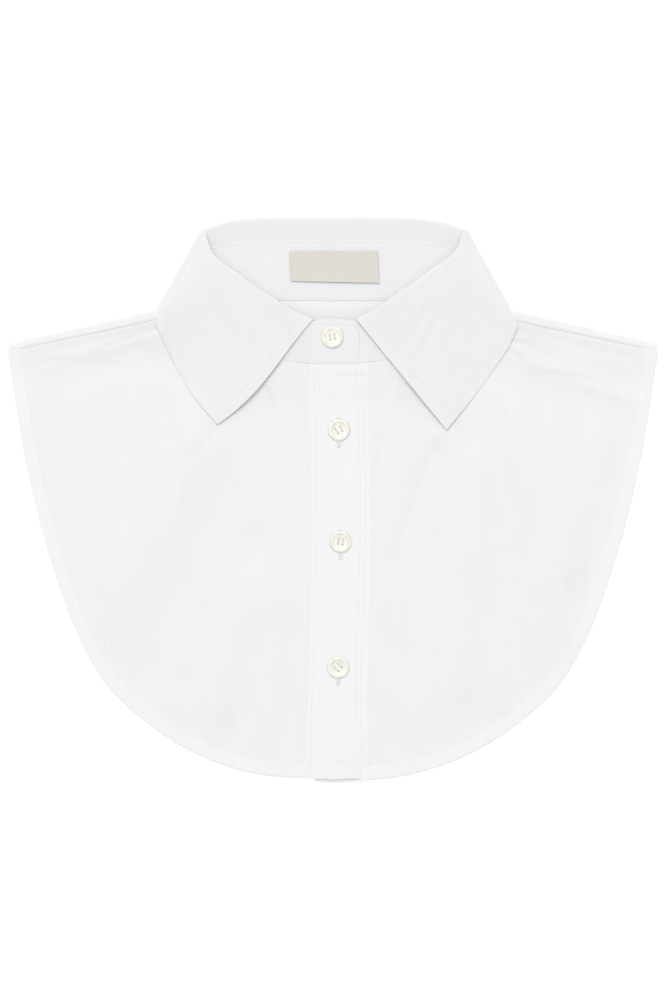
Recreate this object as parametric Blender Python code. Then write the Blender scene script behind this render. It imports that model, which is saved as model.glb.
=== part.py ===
"""Detachable shirt collar, laid flat with its front up.

Sizes are in millimetres, and MM turns them into Blender's metres. +X runs along the
shoulders to the right as seen from above, +Y from the front hem to the back of the neck,
and +Z up from the surface that the collar lies on. The origin is at the middle of the
base. Right and left in a name are the wearer's, so the right side has negative X.

Each piece of cloth is a grid whose points are placed by a rule, with a Solidify wall.
"""

import math

import bmesh
import bpy
import numpy as np

MM = 0.001

# Walls and the gaps between layers and at seams
PANEL_WALL = 1.0
BAND_WALL = 1.2
LABEL_WALL = 0.8
LAYER_GAP = 0.3
SEAM_GAP = 0.35
SHOULDER_SEAM_GAP = 0.5
LEAF_SEAM_GAP = 1.1

# Hem line of one half, from the middle of the bottom edge to the shoulder corner
HEM_LINE = [
    # x, y
    (0.0, -155.9),
    (36.0, -152.6),
    (71.0, -141.8),
    (103.2, -122.1),
    (126.5, -99.5),
    (139.7, -75.9),
    (154.6, -36.3),
    (168.3, 16.5),
    (179.3, 82.6),
]
HEM_BAND = 8.0
HEM_STEP = 0.6
HEM_RAISE = 0.3
RIGHT_SHORTER = 2.4
LEFT_SHORTER = 0.5
BACK_SHORTER = 3.2
SHORTER_WIDTH = 60.0
BACK_INSET = 1.2

# Shoulders: the back panel turns over the fold and meets the front panel just below it
SHOULDER_NECK_X = 79.4
SHOULDER_NECK_Y = 108.8
SHOULDER_END_X = 178.8
SHOULDER_SLOPE = 0.2273
SHOULDER_RADIUS = 1.75
SEAM_BELOW_FOLD_NECK = 5.2
SEAM_BELOW_FOLD_END = 3.6
SHOULDER_RISE = 1.2
SHOULDER_RISE_WIDTH = 18.0

# Neck seam: straight behind, half an ellipse in front
BACK_NECK_Y = 109.7
NECK_SIDE_Y = 109.3
NECK_RADIUS_X = 77.8
NECK_DEPTH = 34.5
NECK_RISE = 1.7
NECK_RISE_WIDTH = 30.0

# The leaf's back layer lies under the panels and lifts them, the front ones from further off
LEAF_LIFT = 1.5
FRONT_LIFT_START_Y = 76.0
BACK_LIFT_START_Y = 84.0
LIFT_FULL_Y = 100.0
LIFT_FULL_X = 101.0
LIFT_END_X = 128.0

# Button band, whose edges spread a little towards the hem
BAND_RIGHT_X = (-13.2, -15.6)
BAND_LEFT_X = (16.0, 18.6)
BAND_SHORTER = 2.9
UNDER_BAND_X = (-10.0, 22.0)
PANEL_TUCK = 2.2

# Loops round the collar. Each lies low behind and high in front, and turns over at the
# side in half a circle. side_x is at the middle of the wall there.
STAND_BOTTOM = {"back_y": 110.0, "side_x": 78.4, "side_y": 109.6, "back_z": 2.1, "side_z": 4.5}
STAND_TOP = {"back_y": 143.0, "side_x": 74.9, "side_y": 137.0, "back_z": 2.1, "side_z": 6.6}
ROLL_CORE = {"back_y": 154.1, "side_x": 71.9, "side_y": 148.6, "back_z": 2.1, "side_z": 7.9}
LEAF_EDGE = {"back_y": 103.5, "side_x": 97.9, "side_y": 105.6, "back_z": 0.6, "side_z": 6.0}
ROLL_RADIUS = 1.5
ROLL_FRONT_Z = 7.3
BACK_ROUNDING = 4

# Front of the collar from the side towards the button band: the roll line as seen from
# above, the leaf's free edge, and where the stand's line meets the neck seam. The last
# row is the leaf's front edge, down to its point.
RIGHT_FRONT = [
    # roll x, roll y, edge x, edge y, edge z, neck x
    (65.1, 139.0, 97.3, 99.5, 5.9, 75.5),
    (47.3, 125.3, 92.8, 86.8, 5.3, 65.0),
    (29.5, 113.0, 85.0, 71.2, 4.8, 46.0),
    (18.6, 106.2, 76.6, 57.0, 4.5, 26.0),
    (10.4, 101.6, 63.5, 41.5, 4.2, 11.2),
]
LEFT_FRONT = [
    (67.6, 140.4, 100.9, 98.2, 6.1, 75.5),
    (54.0, 126.2, 97.9, 86.8, 5.8, 66.0),
    (37.5, 113.6, 87.6, 70.8, 5.1, 50.0),
    (24.0, 106.0, 77.3, 56.7, 4.6, 31.0),
    (14.0, 101.2, 62.5, 38.5, 4.2, 14.8),
]

# The stand's ends lie over each other in front: the right one over, the left one under
STAND_SHARE_SIDE = 0.29
STAND_SHARE_FRONT = 0.08
STAND_FRONT_Y = 98.0
STAND_TOP_Z = {"over": 5.8, "under": 4.3}
STAND_BOTTOM_Z = {"over": 5.0, "under": 3.5}
STAND_END_X = {"over": 13.8, "under": -9.0}
STAND_CORNER = 7.0

# Long soft folds of the front panels, each a low ridge along a line
FOLDS = [
    # x1, y1, x2, y2, half width, height
    (57.8, 34.0, 34.0, -34.0, 7.0, 0.8),
    (100.0, 20.0, 128.0, -72.0, 11.0, 1.0),
    (98.0, 80.0, 167.0, 55.0, 5.0, 0.9),
    (-80.0, 25.0, -101.0, -46.0, 9.0, 0.8),
    (-122.0, 84.0, -156.0, 70.0, 6.0, 0.7),
    (-34.0, 62.0, -27.0, 34.0, 4.0, 0.7),
    (-30.0, -60.0, -37.0, -128.0, 8.0, 0.6),
]

# Buttons: the first on the stand, the rest down the button band
BUTTON_LIFT = 0.2
STAND_BUTTON = (-0.3, 89.6)
BAND_BUTTONS = [
    # x, y
    (3.3, 38.5),
    (4.2, -22.9),
    (2.9, -92.1),
]
BUTTON_PROFILE = [
    # radius, height
    (4.4, 0.0),
    (5.8, 0.5),
    (6.2, 1.3),
    (5.8, 2.1),
    (5.1, 2.4),
    (4.3, 2.2),
    (3.7, 1.7),
]
BUTTON_SEGMENTS = 20
HOLE_RADIUS = 0.8
HOLE_SEGMENTS = 6
HOLE_OFFSET = 1.35
HOLE_CUT_LENGTH = 6.0

# Label on the inside of the back of the stand, by the corners of its lower and upper edge
LABEL_LOWER = [(-23.1, 120.3), (25.6, 119.2)]
LABEL_UPPER = [(-24.0, 137.0), (24.6, 137.0)]

CLOTH_WHITE = (0.88, 0.88, 0.90)
BAND_WHITE = (0.91, 0.91, 0.92)
COLLAR_WHITE = (0.87, 0.87, 0.885)
LABEL_ECRU = (0.75, 0.70, 0.62)
SHELL_WHITE = (0.86, 0.85, 0.80)


def clear_scene():
    for item in list(bpy.data.objects):
        bpy.data.objects.remove(item, do_unlink=True)


def plain_material(name, colour, roughness):
    material = bpy.data.materials.new(name)
    material.use_nodes = True
    shader = material.node_tree.nodes["Principled BSDF"]
    shader.inputs["Base Color"].default_value = (*colour, 1.0)
    shader.inputs["Roughness"].default_value = roughness
    shader.inputs["Metallic"].default_value = 0.0
    return material


def blend(start, end, share):
    return start + (end - start) * share


def clamp(value):
    return min(1.0, max(0.0, value))


def smooth(share):
    """0 below 0, 1 above 1, and an even S between."""
    share = clamp(share)
    return share * share * (3.0 - 2.0 * share)


def steps(start, end, count):
    return [blend(start, end, step / count) for step in range(count + 1)]


def curve_through(points):
    """A smooth curve through the points, as a function that runs from 0 to 1."""
    points = np.array(points, float)
    lengths = np.linalg.norm(np.diff(points, axis=0), axis=1)
    knots = np.concatenate([[0.0], np.cumsum(lengths)]) / lengths.sum()
    slopes = np.gradient(points, knots, axis=0)

    def at(share):
        first = int(np.searchsorted(knots, share, side="right")) - 1
        first = min(max(first, 0), len(points) - 2)
        span = knots[first + 1] - knots[first]
        part = (share - knots[first]) / span
        leave = part * (1.0 - part) ** 2 * span * slopes[first]
        arrive = part * part * (part - 1.0) * span * slopes[first + 1]
        return blend(points[first], points[first + 1], smooth(part)) + leave + arrive

    return at


hem_curve = curve_through(HEM_LINE)


def hem_direction(share):
    step = 0.01
    run = hem_curve(min(1.0, share + step)) - hem_curve(max(0.0, share - step))
    return run / np.linalg.norm(run)


def hem_share(x):
    """How far along the hem line it reaches this far out."""
    low, high = 0.0, 1.0
    for _ in range(30):
        middle = (low + high) / 2.0
        if hem_curve(middle)[0] < abs(x):
            low = middle
        else:
            high = middle
    return low


def shorter(x, amount):
    """How far a piece's hem stays above the longest one near the button band."""
    return amount * (1.0 - smooth(abs(x) / SHORTER_WIDTH))


def neck_y(x, outward=0.0):
    """Height in Y of the front neck seam at x, or of a line that lies outward of it."""
    share = min(1.0, abs(x) / (NECK_RADIUS_X + outward))
    return NECK_SIDE_Y - (NECK_DEPTH + outward) * math.sqrt(1.0 - share * share)


def fold_y(x):
    """Height in Y of the shoulder fold at x."""
    return SHOULDER_NECK_Y - SHOULDER_SLOPE * (abs(x) - SHOULDER_NECK_X)


def seam_below_fold(x):
    share = (abs(x) - SHOULDER_NECK_X) / (SHOULDER_END_X - SHOULDER_NECK_X)
    return blend(SEAM_BELOW_FOLD_NECK, SEAM_BELOW_FOLD_END, clamp(share))


def cloth_lift(x, y, start_y):
    """How far the collar leaf's back layer lifts the panels that lie over it."""
    along_y = smooth((y - start_y) / (LIFT_FULL_Y - start_y))
    along_x = smooth((LIFT_END_X - abs(x)) / (LIFT_END_X - LIFT_FULL_X))
    return LEAF_LIFT * along_y * along_x


def fold_height(x, y):
    """Height that the soft folds add at a point of the front panels."""
    highest = 0.0
    for x1, y1, x2, y2, half_width, height in FOLDS:
        run = np.array([x2 - x1, y2 - y1])
        length = float(np.linalg.norm(run))
        along = float(np.dot([x - x1, y - y1], run)) / length
        across = ((x - x1) * run[1] - (y - y1) * run[0]) / length
        beyond = max(-along, along - length, 0.0)
        ends = smooth(1.0 - beyond / (2.0 * half_width))
        highest = max(highest, height * ends * math.exp(-((across / half_width) ** 2)))
    return highest


def neck_distance(x, y):
    """Roughly how far a point lies outside the front neck seam."""
    scaled = math.hypot(x / NECK_RADIUS_X, (NECK_SIDE_Y - y) / NECK_DEPTH)
    if scaled <= 1.0:
        return 0.0
    return math.hypot(x, NECK_SIDE_Y - y) * (1.0 - 1.0 / scaled)


def front_height(x, y):
    """Height of the middle of the front panels' wall."""
    flat = PANEL_WALL * 1.5 + LAYER_GAP
    below_seam = fold_y(x) - seam_below_fold(x) - y
    at_neck = 1.0 - smooth(neck_distance(x, y) / NECK_RISE_WIDTH)
    at_shoulder = 1.0 - smooth(below_seam / SHOULDER_RISE_WIDTH)
    near = 1.0 - (1.0 - at_neck) * (1.0 - at_shoulder)
    rise = blend(NECK_RISE, SHOULDER_RISE, clamp(abs(x) / NECK_RADIUS_X) ** 2)
    lift = cloth_lift(x, y, FRONT_LIFT_START_Y)
    return flat + lift + rise * near + fold_height(x, y) * (1.0 - near)


def new_sheet(name, columns, rows, place, material, wall, grow=0.0):
    """A grid of cloth with place(column, row) as its points, and a wall.

    grow is 1 where the wall grows along the grid's normals, -1 where it grows against
    them, and 0 where the grid is the middle of the wall.
    """
    sheet = bmesh.new()
    across = len(columns) - 1
    down = len(rows) - 1
    bmesh.ops.create_grid(sheet, x_segments=across, y_segments=down, size=1.0)
    for vertex in sheet.verts:
        column = columns[round((vertex.co.x + 1.0) / 2.0 * across)]
        row = rows[round((vertex.co.y + 1.0) / 2.0 * down)]
        vertex.co = [value * MM for value in place(column, row)]
    mesh = bpy.data.meshes.new(name)
    sheet.to_mesh(mesh)
    sheet.free()
    mesh.materials.append(material)
    mesh.shade_smooth()
    piece = bpy.data.objects.new(name, mesh)
    bpy.context.collection.objects.link(piece)
    cloth = piece.modifiers.new("cloth wall", "SOLIDIFY")
    cloth.thickness = wall * MM
    cloth.offset = grow
    cloth.use_even_offset = False
    return piece


def rows_to_hem(length, near, even, band):
    """Distances from the neck down to the hem: some near the neck, then even ones as
    far as the hem band, its step, and the edge."""
    start = length - band
    return [*near, *steps(near[-1], start, even)[1:], start + HEM_STEP, length]


def front_panel(name, side, band_x, shorter_by, material):
    """One front, whose lines fan out from the neck seam to the hem, from the button band
    (column 0) round to the shoulder seam (column 1)."""
    near = [0.0, 4.0, 9.0, 16.0, 26.0]
    even = 8
    radius_x = NECK_RADIUS_X + SEAM_GAP
    radius_y = NECK_DEPTH + SEAM_GAP
    seam_y = fold_y(SHOULDER_NECK_X) - SEAM_BELOW_FOLD_NECK
    first_angle = math.acos(band_x / radius_x)
    last_angle = math.asin((NECK_SIDE_Y - seam_y) / radius_y)
    first_share = hem_share(band_x)

    def place(column, row):
        angle = blend(first_angle, last_angle, column)
        top = np.array([radius_x * math.cos(angle), NECK_SIDE_Y - radius_y * math.sin(angle)])
        share = blend(first_share, 1.0, column)
        bottom = hem_curve(share)
        bottom[1] += shorter(bottom[0], shorter_by)
        run = bottom - top
        length = float(np.linalg.norm(run))
        direction = run / length
        hem = hem_direction(share)
        slant = abs(direction[0] * hem[1] - direction[1] * hem[0])
        distances = rows_to_hem(length, near, even, HEM_BAND / slant)
        x, y = top + direction * distances[row]
        raised = HEM_RAISE if row >= len(distances) - 2 else 0.0
        return side * x, y, front_height(side * x, y) + raised

    rows = range(len(near) + even + 2)
    return new_sheet(name, steps(0.0, 1.0, 24), rows, place, material, PANEL_WALL)


def back_panel(material):
    """The back, whose lines fan out from the neck to the hem. Past its first and last
    line it turns over the shoulder fold (one unit) and lies down as far as the seam
    (one more)."""
    near = [0.0, 3.0, 7.0, 12.0, 19.0, 27.0, 36.0, 47.0]
    even = 5
    fold_run = math.hypot(1.0, SHOULDER_SLOPE)
    outward = np.array([SHOULDER_SLOPE, 1.0]) / fold_run
    neck_corner = np.array([SHOULDER_NECK_X, SHOULDER_NECK_Y]) - outward * SHOULDER_RADIUS
    end_corner = np.array([SHOULDER_END_X, fold_y(SHOULDER_END_X)]) - outward * SHOULDER_RADIUS
    last_body_column = 0.9

    def place(column, row):
        side = -1.0 if column < 0.5 else 1.0
        beyond = max(-column, column - 1.0, 0.0)
        out = min(1.0, abs(2.0 * column - 1.0))
        to_corner = clamp((out - last_body_column) / (1.0 - last_body_column))
        top = np.array([out * SHOULDER_NECK_X, BACK_NECK_Y - SEAM_GAP])
        top = blend(top, neck_corner, to_corner)
        hem = hem_direction(out)
        bottom = hem_curve(out) + np.array([-hem[1], hem[0]]) * BACK_INSET
        bottom[1] += shorter(bottom[0], BACK_SHORTER)
        bottom = blend(bottom, end_corner, to_corner)
        run = bottom - top
        length = float(np.linalg.norm(run))
        distances = [*near, *steps(near[-1], length, even)[1:]]
        point = top + run / length * distances[row]
        z = cloth_lift(point[0], point[1], BACK_LIFT_START_Y)
        if beyond > 0.0:
            angle = math.pi * min(beyond, 1.0)
            flap = seam_below_fold(point[0]) - SHOULDER_RADIUS - SHOULDER_SEAM_GAP
            z += SHOULDER_RADIUS * (1.0 - math.cos(angle))
            point = point + outward * SHOULDER_RADIUS * math.sin(angle)
            point = point - outward * flap * max(0.0, beyond - 1.0)
        return side * point[0], point[1], z

    flap_and_turn = [-2.0, -1.5, *steps(-1.0, 0.0, 6)]
    body = steps(0.0, 1.0, 20)[1:]
    right_turn = [1.0 - column for column in flap_and_turn[-2::-1]]
    columns = [*flap_and_turn, *body, *right_turn]
    rows = range(len(near) + even)
    return new_sheet("back_panel", columns, rows, place, material, PANEL_WALL, grow=-1.0)


def band_sheet(name, columns, edges, shorter_by, height, wall, material):
    """A strip down the middle of the front, between two edges that may spread."""
    near = [0.0, 4.0, 9.0, 16.0, 26.0]
    even = 6

    def place(column, row):
        top_x = blend(edges[0][0], edges[1][0], column)
        bottom_x = blend(edges[0][1], edges[1][1], column)
        top = neck_y(top_x, SEAM_GAP)
        bottom = hem_curve(hem_share(bottom_x))[1] + shorter(bottom_x, shorter_by)
        distances = rows_to_hem(top - bottom, near, even, HEM_BAND)
        x = blend(top_x, bottom_x, distances[row] / distances[-1])
        y = top - distances[row]
        raised = HEM_RAISE if row >= len(distances) - 2 else 0.0
        return x, y, front_height(x, y) + height + raised

    return new_sheet(name, columns, range(len(near) + even + 2), place, material, wall)


def turned_loop(loop, turn):
    """A point of a loop round the collar, behind (turn 0 to 1) or in the half circle at
    the side (turn 1 to 2)."""
    radius = (loop["side_z"] - loop["back_z"]) / 2.0
    angle = math.pi * max(0.0, turn - 1.0)
    out = min(turn, 1.0)
    x = (loop["side_x"] - radius) * out + radius * math.sin(angle)
    y = blend(loop["back_y"], loop["side_y"], out**BACK_ROUNDING)
    return np.array([x, y, loop["back_z"] + radius * (1.0 - math.cos(angle))])


def front_curve(sections):
    """Runs down the front rows as one curve of core x, core y, edge x, edge y, edge z
    and neck x, from the end of the side turn."""
    core = turned_loop(ROLL_CORE, 2.0)
    edge = turned_loop(LEAF_EDGE, 2.0)
    neck = turned_loop(STAND_BOTTOM, 2.0)
    rolls = np.array([row[:2] for row in sections])
    along = np.gradient(rolls, axis=0)
    along /= np.linalg.norm(along, axis=1)[:, None]
    into_neck = np.stack([along[:, 1], -along[:, 0]], axis=1)
    cores = rolls - into_neck * (ROLL_RADIUS + BAND_WALL / 2.0)
    rows = [(core[0], core[1], edge[0], edge[1], edge[2], neck[0])]
    rows += [(*middle, *section[2:]) for middle, section in zip(cores, sections)]
    return curve_through(rows)


FRONT_CURVES = {"over": front_curve(RIGHT_FRONT), "under": front_curve(LEFT_FRONT)}


def collar_section(turn):
    """The four loops of the collar at one place round it, as points of its wall's middle
    and the direction out of the neck.

    turn is 0 at the centre back, 1 to 2 in the turn at the side, 3 at the leaf's front
    edge and 4 at the stand's end. Below 0 it is the wearer's right, whose end lies over.
    """
    lap = "over" if turn < 0 else "under"
    side = -1.0 if turn < 0 else 1.0
    turn = abs(turn)
    angle = math.pi * clamp(turn - 1.0)
    if turn <= 2.0:
        bottom, top, core, edge = (
            turned_loop(loop, turn) for loop in (STAND_BOTTOM, STAND_TOP, ROLL_CORE, LEAF_EDGE)
        )
    else:
        share = min(1.0, turn - 2.0)
        core_x, core_y, edge_x, edge_y, edge_z, neck_x = FRONT_CURVES[lap](share)
        ease = smooth(share)
        core = np.array([core_x, core_y, blend(ROLL_CORE["side_z"], ROLL_FRONT_Z, ease)])
        edge = np.array([edge_x, edge_y, edge_z])
        from_side = (STAND_BOTTOM["side_y"] - NECK_SIDE_Y) * (1.0 - ease)
        bottom_z = blend(STAND_BOTTOM["side_z"], STAND_BOTTOM_Z[lap], ease)
        bottom = np.array([neck_x, neck_y(neck_x) + from_side, bottom_z])
        down = blend(STAND_SHARE_SIDE, STAND_SHARE_FRONT, ease)
        top = blend(core, bottom, down)
        top[2] = blend(STAND_TOP["side_z"], STAND_TOP_Z[lap], ease)
    if turn > 3.0:
        share = turn - 3.0
        end_x = side * STAND_END_X[lap]
        x = blend(bottom[0], end_x, share)
        bottom = np.array([x, neck_y(x), bottom[2]])
        top = np.array([blend(top[0], end_x, share), blend(top[1], STAND_FRONT_Y, share), top[2]])
        into_corner = STAND_CORNER - abs(end_x - top[0])
        if into_corner > 0.0:
            top[1] -= STAND_CORNER - math.sqrt(STAND_CORNER**2 - into_corner**2)
    out = np.array([side * math.sin(angle), 0.0, -math.cos(angle)])
    for point in (bottom, top, core, edge):
        point[0] *= side
    return bottom, top, core, edge, out


def collar_stand(material):
    def place(turn, row):
        bottom, top, _, _, _ = collar_section(turn)
        return blend(bottom, top, row)

    half = [*steps(0.0, 1.0, 8), *steps(1.0, 2.0, 5)[1:], *steps(2.0, 3.0, 12)[1:]]
    half += steps(3.0, 4.0, 6)[1:]
    turns = [-turn for turn in half[:0:-1]] + half
    return new_sheet("collar_stand", turns, steps(0.0, 1.0, 4), place, material, BAND_WALL)


def collar_leaf(material):
    """The leaf, from the stand's top edge (row 0) up the inside to the roll (1 to 2) and
    down the outside to its free edge (3)."""

    def place(turn, row):
        _, top, core, edge, out = collar_section(turn)
        up = (core - top) * np.array([1.0, 1.0, 0.0])
        up /= np.linalg.norm(up)
        start = top + up * LEAF_SEAM_GAP
        if row <= 1.0:
            return blend(start, core - out * ROLL_RADIUS, row)
        if row <= 2.0:
            angle = math.pi * (row - 1.0)
            return core + ROLL_RADIUS * (up * math.sin(angle) - out * math.cos(angle))
        return blend(core + out * ROLL_RADIUS, edge, row - 2.0)

    half = [*steps(0.0, 1.0, 8), *steps(1.0, 2.0, 5)[1:], *steps(2.0, 3.0, 12)[1:]]
    turns = [-turn for turn in half[:0:-1]] + half
    rows = [*steps(0.0, 1.0, 2), *steps(1.0, 2.0, 6)[1:], *steps(2.0, 3.0, 7)[1:]]
    return new_sheet("collar_leaf", turns, rows, place, material, BAND_WALL)


def label(material):
    z = STAND_TOP["back_z"] + BAND_WALL / 2.0 + LAYER_GAP + LABEL_WALL / 2.0

    def place(column, row):
        lower = blend(np.array(LABEL_LOWER[0]), np.array(LABEL_LOWER[1]), column)
        upper = blend(np.array(LABEL_UPPER[0]), np.array(LABEL_UPPER[1]), column)
        return *blend(lower, upper, row), z

    return new_sheet("label", steps(0.0, 1.0, 6), steps(0.0, 1.0, 2), place, material, LABEL_WALL)


def button_mesh(material):
    """A turned button with four holes through it."""
    turned = bmesh.new()
    foot = turned.verts.new((0.0, 0.0, 0.0))
    top = turned.verts.new((0.0, 0.0, BUTTON_PROFILE[-1][1] * MM))
    rim = [turned.verts.new((radius * MM, 0.0, z * MM)) for radius, z in BUTTON_PROFILE]
    line = [foot, *rim, top]
    edges = [turned.edges.new(pair) for pair in zip(line, line[1:])]
    bmesh.ops.spin(
        turned,
        geom=line + edges,
        cent=(0.0, 0.0, 0.0),
        axis=(0.0, 0.0, 1.0),
        angle=2.0 * math.pi,
        steps=BUTTON_SEGMENTS,
        use_merge=True,
    )
    bmesh.ops.remove_doubles(turned, verts=turned.verts, dist=1e-6)
    bmesh.ops.recalc_face_normals(turned, faces=turned.faces)
    blank_mesh = bpy.data.meshes.new("button blank")
    turned.to_mesh(blank_mesh)
    turned.free()
    blank = bpy.data.objects.new("button blank", blank_mesh)
    bpy.context.collection.objects.link(blank)

    drills = bmesh.new()
    for across in (-HOLE_OFFSET, HOLE_OFFSET):
        for along in (-HOLE_OFFSET, HOLE_OFFSET):
            made = bmesh.ops.create_cone(
                drills,
                cap_ends=True,
                segments=HOLE_SEGMENTS,
                radius1=HOLE_RADIUS * MM,
                radius2=HOLE_RADIUS * MM,
                depth=HOLE_CUT_LENGTH * MM,
            )
            bmesh.ops.translate(
                drills, verts=made["verts"], vec=(across * MM, along * MM, 0.0)
            )
    drill_mesh = bpy.data.meshes.new("button drills")
    drills.to_mesh(drill_mesh)
    drills.free()
    drill = bpy.data.objects.new("button drills", drill_mesh)
    bpy.context.collection.objects.link(drill)

    holes = blank.modifiers.new("thread holes", "BOOLEAN")
    holes.operation = "DIFFERENCE"
    holes.object = drill
    graph = bpy.context.evaluated_depsgraph_get()
    mesh = bpy.data.meshes.new_from_object(blank.evaluated_get(graph))
    for helper in (blank, drill):
        bpy.data.objects.remove(helper, do_unlink=True)
    mesh.materials.clear()
    mesh.materials.append(material)
    mesh.shade_smooth()
    mesh.set_sharp_from_angle(angle=math.radians(40.0))
    return mesh


def band_height():
    """How far the button band's middle lies above the front panels' middle."""
    return PANEL_WALL / 2.0 + LAYER_GAP + BAND_WALL / 2.0


def buttons(material):
    mesh = button_mesh(material)
    seat = BAND_WALL / 2.0 + LAYER_GAP + BUTTON_LIFT
    x, y = STAND_BUTTON
    up_stand = (y - neck_y(x)) / (STAND_FRONT_Y - neck_y(x))
    stand_z = blend(STAND_BOTTOM_Z["over"], STAND_TOP_Z["over"], up_stand)
    places = [(x, y, stand_z + seat)]
    places += [(x, y, front_height(x, y) + band_height() + seat) for x, y in BAND_BUTTONS]
    for number, place in enumerate(places, start=1):
        button = bpy.data.objects.new(f"button_{number}", mesh)
        button.location = [value * MM for value in place]
        bpy.context.collection.objects.link(button)


def main():
    clear_scene()
    cloth = plain_material("white shirting", CLOTH_WHITE, 0.9)
    band_cloth = plain_material("white shirting, doubled", BAND_WHITE, 0.9)
    collar_cloth = plain_material("white shirting, stiffened", COLLAR_WHITE, 0.85)
    tape = plain_material("ecru tape", LABEL_ECRU, 0.8)
    shell = plain_material("pearl white button", SHELL_WHITE, 0.3)

    back_panel(cloth)
    front_panel("front_panel_right", -1.0, -BAND_RIGHT_X[0] - PANEL_TUCK, RIGHT_SHORTER, cloth)
    front_panel("front_panel_left", 1.0, UNDER_BAND_X[1] + SEAM_GAP, LEFT_SHORTER, cloth)
    across = steps(0.0, 1.0, 6)
    under_edges = [(x, x) for x in UNDER_BAND_X]
    band_sheet("placket_under", across, under_edges, 0.0, 0.0, PANEL_WALL, band_cloth)
    over_edges = [BAND_RIGHT_X, BAND_LEFT_X]
    band_sheet(
        "placket_over", across, over_edges, BAND_SHORTER, band_height(), BAND_WALL, band_cloth
    )
    collar_stand(collar_cloth)
    collar_leaf(collar_cloth)
    label(tape)
    buttons(shell)


main()
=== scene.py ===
"""Looks of a detachable shirt collar, laid flat with its front up.

Lengths in the tables are in millimetres, and MM turns them into Blender's metres. +X runs
along the shoulders to the right as seen from above, +Y towards the back of the neck, and
+Z up. Right and left in a name are the wearer's, so the right side has negative X.

Each piece of cloth is a grid whose points are placed by the same rules as the solid that
it stands for, with finer creases, and a thin wall.
"""

import functools
import math

import bmesh
import bpy
import numpy as np
from bpy.props import FloatProperty, FloatVectorProperty, PointerProperty
from mathutils import Matrix, Vector, noise


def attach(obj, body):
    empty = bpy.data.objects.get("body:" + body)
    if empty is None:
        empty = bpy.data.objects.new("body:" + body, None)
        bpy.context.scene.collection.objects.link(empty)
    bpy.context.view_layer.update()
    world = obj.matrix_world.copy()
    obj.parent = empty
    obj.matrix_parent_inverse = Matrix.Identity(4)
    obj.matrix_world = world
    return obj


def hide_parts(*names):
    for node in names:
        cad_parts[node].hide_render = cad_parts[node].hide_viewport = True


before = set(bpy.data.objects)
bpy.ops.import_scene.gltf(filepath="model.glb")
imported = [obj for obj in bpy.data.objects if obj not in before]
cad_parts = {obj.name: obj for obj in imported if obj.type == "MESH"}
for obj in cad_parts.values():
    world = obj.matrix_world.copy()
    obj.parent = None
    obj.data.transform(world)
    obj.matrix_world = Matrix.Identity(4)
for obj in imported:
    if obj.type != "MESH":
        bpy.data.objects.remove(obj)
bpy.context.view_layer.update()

bl_info = {
    "name": "Detachable shirt collar",
    "version": (1, 0, 0),
    "blender": (4, 5, 0),
    "location": "View3D > Sidebar > Collar",
    "description": "Makes a buttoned shirt collar of white cotton, laid flat",
    "category": "Object",
}

MM = 0.001
BODY = "root"

# Walls of the solids and the gaps between layers
PANEL_WALL = 1.0
BAND_WALL = 1.2
LABEL_WALL = 0.8
LAYER_GAP = 0.3
SEAM_GAP = 0.35

# How the cloth itself differs from the solids: thinner, and tucked in at the seams
BAND_CLOTH = 0.36
COLLAR_CLOTH = 0.8
LABEL_CLOTH = LABEL_WALL * 0.75
NECK_TUCK = 1.2
SHOULDER_LAP = 0.7
SHOULDER_TOP = 3.62
BACK_NECK_RAISE = 0.45
LEAF_TUCK = 2.0
LEAF_UNDER_STAND = 0.3
BAND_OVER_PANEL = 0.14
BAND_OVER_BAND = 0.30

# Hem line of one half, from the middle of the bottom edge to the shoulder corner
HEM_LINE = [
    # x, y
    (0.0, -155.9),
    (36.0, -152.6),
    (71.0, -141.8),
    (103.2, -122.1),
    (126.5, -99.5),
    (139.7, -75.9),
    (154.6, -36.3),
    (168.3, 16.5),
    (179.3, 82.6),
]
HEM_LENGTH = 360.0
HEM_RAISE = 0.3
HEM_FADE_BAND = 4.0
RIGHT_SHORTER = 2.4
LEFT_SHORTER = 0.5
BACK_SHORTER = 3.2
SHORTER_WIDTH = 60.0
BACK_INSET = 1.2

# Shoulders
SHOULDER_NECK_X = 79.4
SHOULDER_NECK_Y = 108.8
SHOULDER_END_X = 178.8
SHOULDER_SLOPE = 0.2273
SHOULDER_RADIUS = 1.75
SEAM_BELOW_FOLD_NECK = 5.2
SEAM_BELOW_FOLD_END = 3.6
SHOULDER_RISE = 1.2
SHOULDER_RISE_WIDTH = 18.0
LAST_BODY_COLUMN = 0.9

# Neck seam: straight behind, half an ellipse in front
BACK_NECK_Y = 109.7
NECK_SIDE_Y = 109.3
NECK_RADIUS_X = 77.8
NECK_DEPTH = 34.5
NECK_RISE = 1.7
NECK_RISE_WIDTH = 30.0

# The leaf's back layer lies under the panels and lifts them
LEAF_LIFT = 1.5
FRONT_LIFT_START_Y = 76.0
BACK_LIFT_START_Y = 84.0
LIFT_FULL_Y = 100.0
LIFT_FULL_X = 101.0
LIFT_END_X = 128.0

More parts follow.
